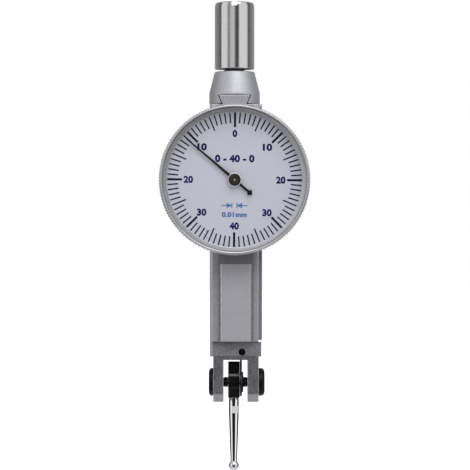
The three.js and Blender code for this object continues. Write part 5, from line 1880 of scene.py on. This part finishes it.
class INDICATOR_OT_stage(PieceOperator, bpy.types.Operator):
    """Adds the floor, the lamp, the light from all round and the camera"""

    bl_idname = "indicator.add_stage"
    bl_label = "Stage"

    def build(self, settings):
        sizes = settings.stage
        self.floor(sizes)
        self.world(sizes)
        self.lamp(sizes.key)
        camera = bpy.data.cameras.new("camera")
        camera.lens = sizes.lens
        camera.clip_start = 0.01
        holder = add_object("camera", camera)
        holder.location = (sizes.camera_across, -sizes.camera_distance, sizes.camera_height)
        holder.rotation_euler = (math.radians(90), 0, 0)
        bpy.context.scene.camera = holder
        bpy.context.scene.view_settings.view_transform = "Standard"

    def floor(self, sizes):
        height = low_of("stylus_ball").z - sizes.floor_drop
        half = sizes.floor_size / 2
        builder = bmesh.new()
        corners = [(-half, -half), (half, -half), (half, half), (-half, half)]
        builder.faces.new([builder.verts.new((x, y, height)) for x, y in corners])
        floor = object_from("floor", builder)
        material = bpy.data.materials.new("floor")
        material.use_nodes = True
        graph = Graph(material.node_tree)
        tone = graph.toned(graph.noise(graph.point(), FLOOR_GRAIN, 3.0), sizes.floor, 0.985, 1.015)
        matt = graph.node("ShaderNodeBsdfDiffuse", {}, {"Color": tone})
        glow = graph.node("ShaderNodeEmission", {}, {"Strength": sizes.glow})
        lit = graph.node("ShaderNodeAddShader", {}, {0: matt, 1: glow})
        open_air = graph.node("ShaderNodeBsdfTransparent", {}, {})
        shown = graph.mix_shader(graph.ray("Is Camera Ray"), matt, lit)
        surface = graph.mix_shader(graph.ray("Is Glossy Ray"), shown, open_air)
        graph.node("ShaderNodeOutputMaterial", {}, {"Surface": surface})
        floor.data.materials.append(material)

    def world(self, sizes):
        world = bpy.data.worlds.new("studio")
        world.use_nodes = True
        bpy.context.scene.world = world
        graph = Graph(world.node_tree)
        direction = graph.node("ShaderNodeTexCoord", {}, {}, "Generated")
        across = graph.part(direction, "X")
        toward = graph.part(direction, "Y") * -1
        up = graph.part(direction, "Z")
        turn = graph.node("ShaderNodeMath", {"operation": "ARCTAN2"}, {0: across, 1: toward})
        place = turn * (0.5 / math.pi) + 0.5
        upper = graph.node("ShaderNodeValToRGB", {"stops": self.stops(STUDIO)}, {0: place})
        lower = graph.node("ShaderNodeValToRGB", {"stops": self.stops(LOW_STUDIO)}, {0: place})
        ahead = 1 - graph.smooth(abs(place - 0.5), *AHEAD_SHARES)
        depth = ahead + (1 - ahead) * graph.smooth(up, *LOW_BOTTOM)
        panels = graph.mix_colour(depth * (1 - graph.smooth(up, *LOW_TOP)), upper, lower)
        level = graph.mix_colour(graph.smooth(up, *CEILING), panels, plain_grey(CEILING_GREY))
        level = graph.mix_colour(graph.smooth(up * -1, *GROUND), level, plain_grey(GROUND_GREY))
        level = graph.mix_colour(graph.ray("Is Diffuse Ray"), level, plain_grey(sizes.fill))
        shown = graph.ray("Is Camera Ray") + graph.ray("Is Transmission Ray")
        level = graph.mix_colour(shown, level, plain_grey(1))
        shader = graph.node("ShaderNodeBackground", {}, {"Color": level, "Strength": 1.0})
        graph.node("ShaderNodeOutputWorld", {}, {"Surface": shader})

    def stops(self, studio):
        return [((degrees + 180) / 360, grey) for degrees, grey in studio]

    def lamp(self, power):
        """A square lamp that points at the dial."""
        light = bpy.data.lights.new("key", "AREA")
        light.energy = power
        light.size = LAMP_SIZE
        holder = add_object("key", light)
        level = math.cos(LAMP_RISE)
        away = Vector((math.sin(LAMP_TURN) * level, -math.cos(LAMP_TURN) * level, math.sin(LAMP_RISE)))
        holder.location = middle_of("dial_plate") + away * LAMP_DISTANCE
        holder.rotation_euler = (-away).to_track_quat("-Z", "Y").to_euler()


# The light round the object as polished metal shows it: degrees from the camera's side, and grey level
STUDIO = (
    (-180, 0.5),
    (-150, 0.42),
    (-115, 0.28),
    (-102, 0.26),
    (-95, 0.13),
    (-86, 0.13),
    (-79, 0.97),
    (-46, 0.97),
    (-38, 0.35),
    (-29, 0.35),
    (-21, 0.75),
    (-3, 0.75),
    (7, 0.08),
    (22, 0.08),
    (29, 0.97),
    (72, 0.97),
    (79, 0.75),
    (86, 0.13),
    (95, 0.13),
    (102, 0.26),
    (115, 0.3),
    (150, 0.42),
    (180, 0.5),
)


# The same below the height of the camera, where the stylus shows it
LOW_STUDIO = (
    (-180, 0.02),
    (-90, 0.02),
    (-80, 1.0),
    (-50, 1.0),
    (-34, 0.012),
    (30, 0.012),
    (44, 1.0),
    (82, 1.0),
    (92, 0.02),
    (180, 0.02),
)


# Heights of a direction of length 1, between which each of these fades
LOW_TOP = (-0.06, -0.03)
LOW_BOTTOM = (-0.28, -0.2)
CEILING = (0.6, 0.9)
GROUND = (0.55, 0.9)  # counted downwards

# Grey levels straight above and below
CEILING_GREY = 0.37
GROUND_GREY = 0.75

# Shares of a turn to each side of the camera, where the low light stops reaching the ground
AHEAD_SHARES = (0.085, 0.1)


class INDICATOR_PT_pieces(bpy.types.Panel):
    """Lists the operators that add the pieces"""

    bl_idname = "INDICATOR_PT_pieces"
    bl_label = "Dial test indicator"
    bl_space_type = "VIEW_3D"
    bl_region_type = "UI"
    bl_category = "Indicator"

    def draw(self, context):
        for operator in OPERATORS:
            self.layout.operator(operator.bl_idname)


GROUPS = (
    FinishSettings,
    StemSettings,
    ClampSettings,
    FrameSettings,
    CoverSettings,
    HousingSettings,
    BezelSettings,
    CrystalSettings,
    DialSettings,
    PointerSettings,
    PivotSettings,
    LeverSettings,
    StylusSettings,
    StageSettings,
    IndicatorSettings,
)

OPERATORS = (
    INDICATOR_OT_stem,
    INDICATOR_OT_clamp,
    INDICATOR_OT_frame,
    INDICATOR_OT_cover,
    INDICATOR_OT_bezel,
    INDICATOR_OT_dial,
    INDICATOR_OT_pointer,
    INDICATOR_OT_pivot,
    INDICATOR_OT_lever,
    INDICATOR_OT_stylus,
    INDICATOR_OT_movement,
    INDICATOR_OT_stage,
)


def register():
    for item in (*GROUPS, *OPERATORS, INDICATOR_PT_pieces):
        bpy.utils.register_class(item)
    bpy.types.Scene.indicator = PointerProperty(type=IndicatorSettings)


def unregister():
    del bpy.types.Scene.indicator
    for item in reversed((*GROUPS, *OPERATORS, INDICATOR_PT_pieces)):
        bpy.utils.unregister_class(item)


def main():
    register()
    make_finishes(bpy.context.scene.indicator)
    for operator in OPERATORS:
        group, name = operator.bl_idname.split(".")
        getattr(getattr(bpy.ops, group), name)()


if __name__ == "__main__":
    main()
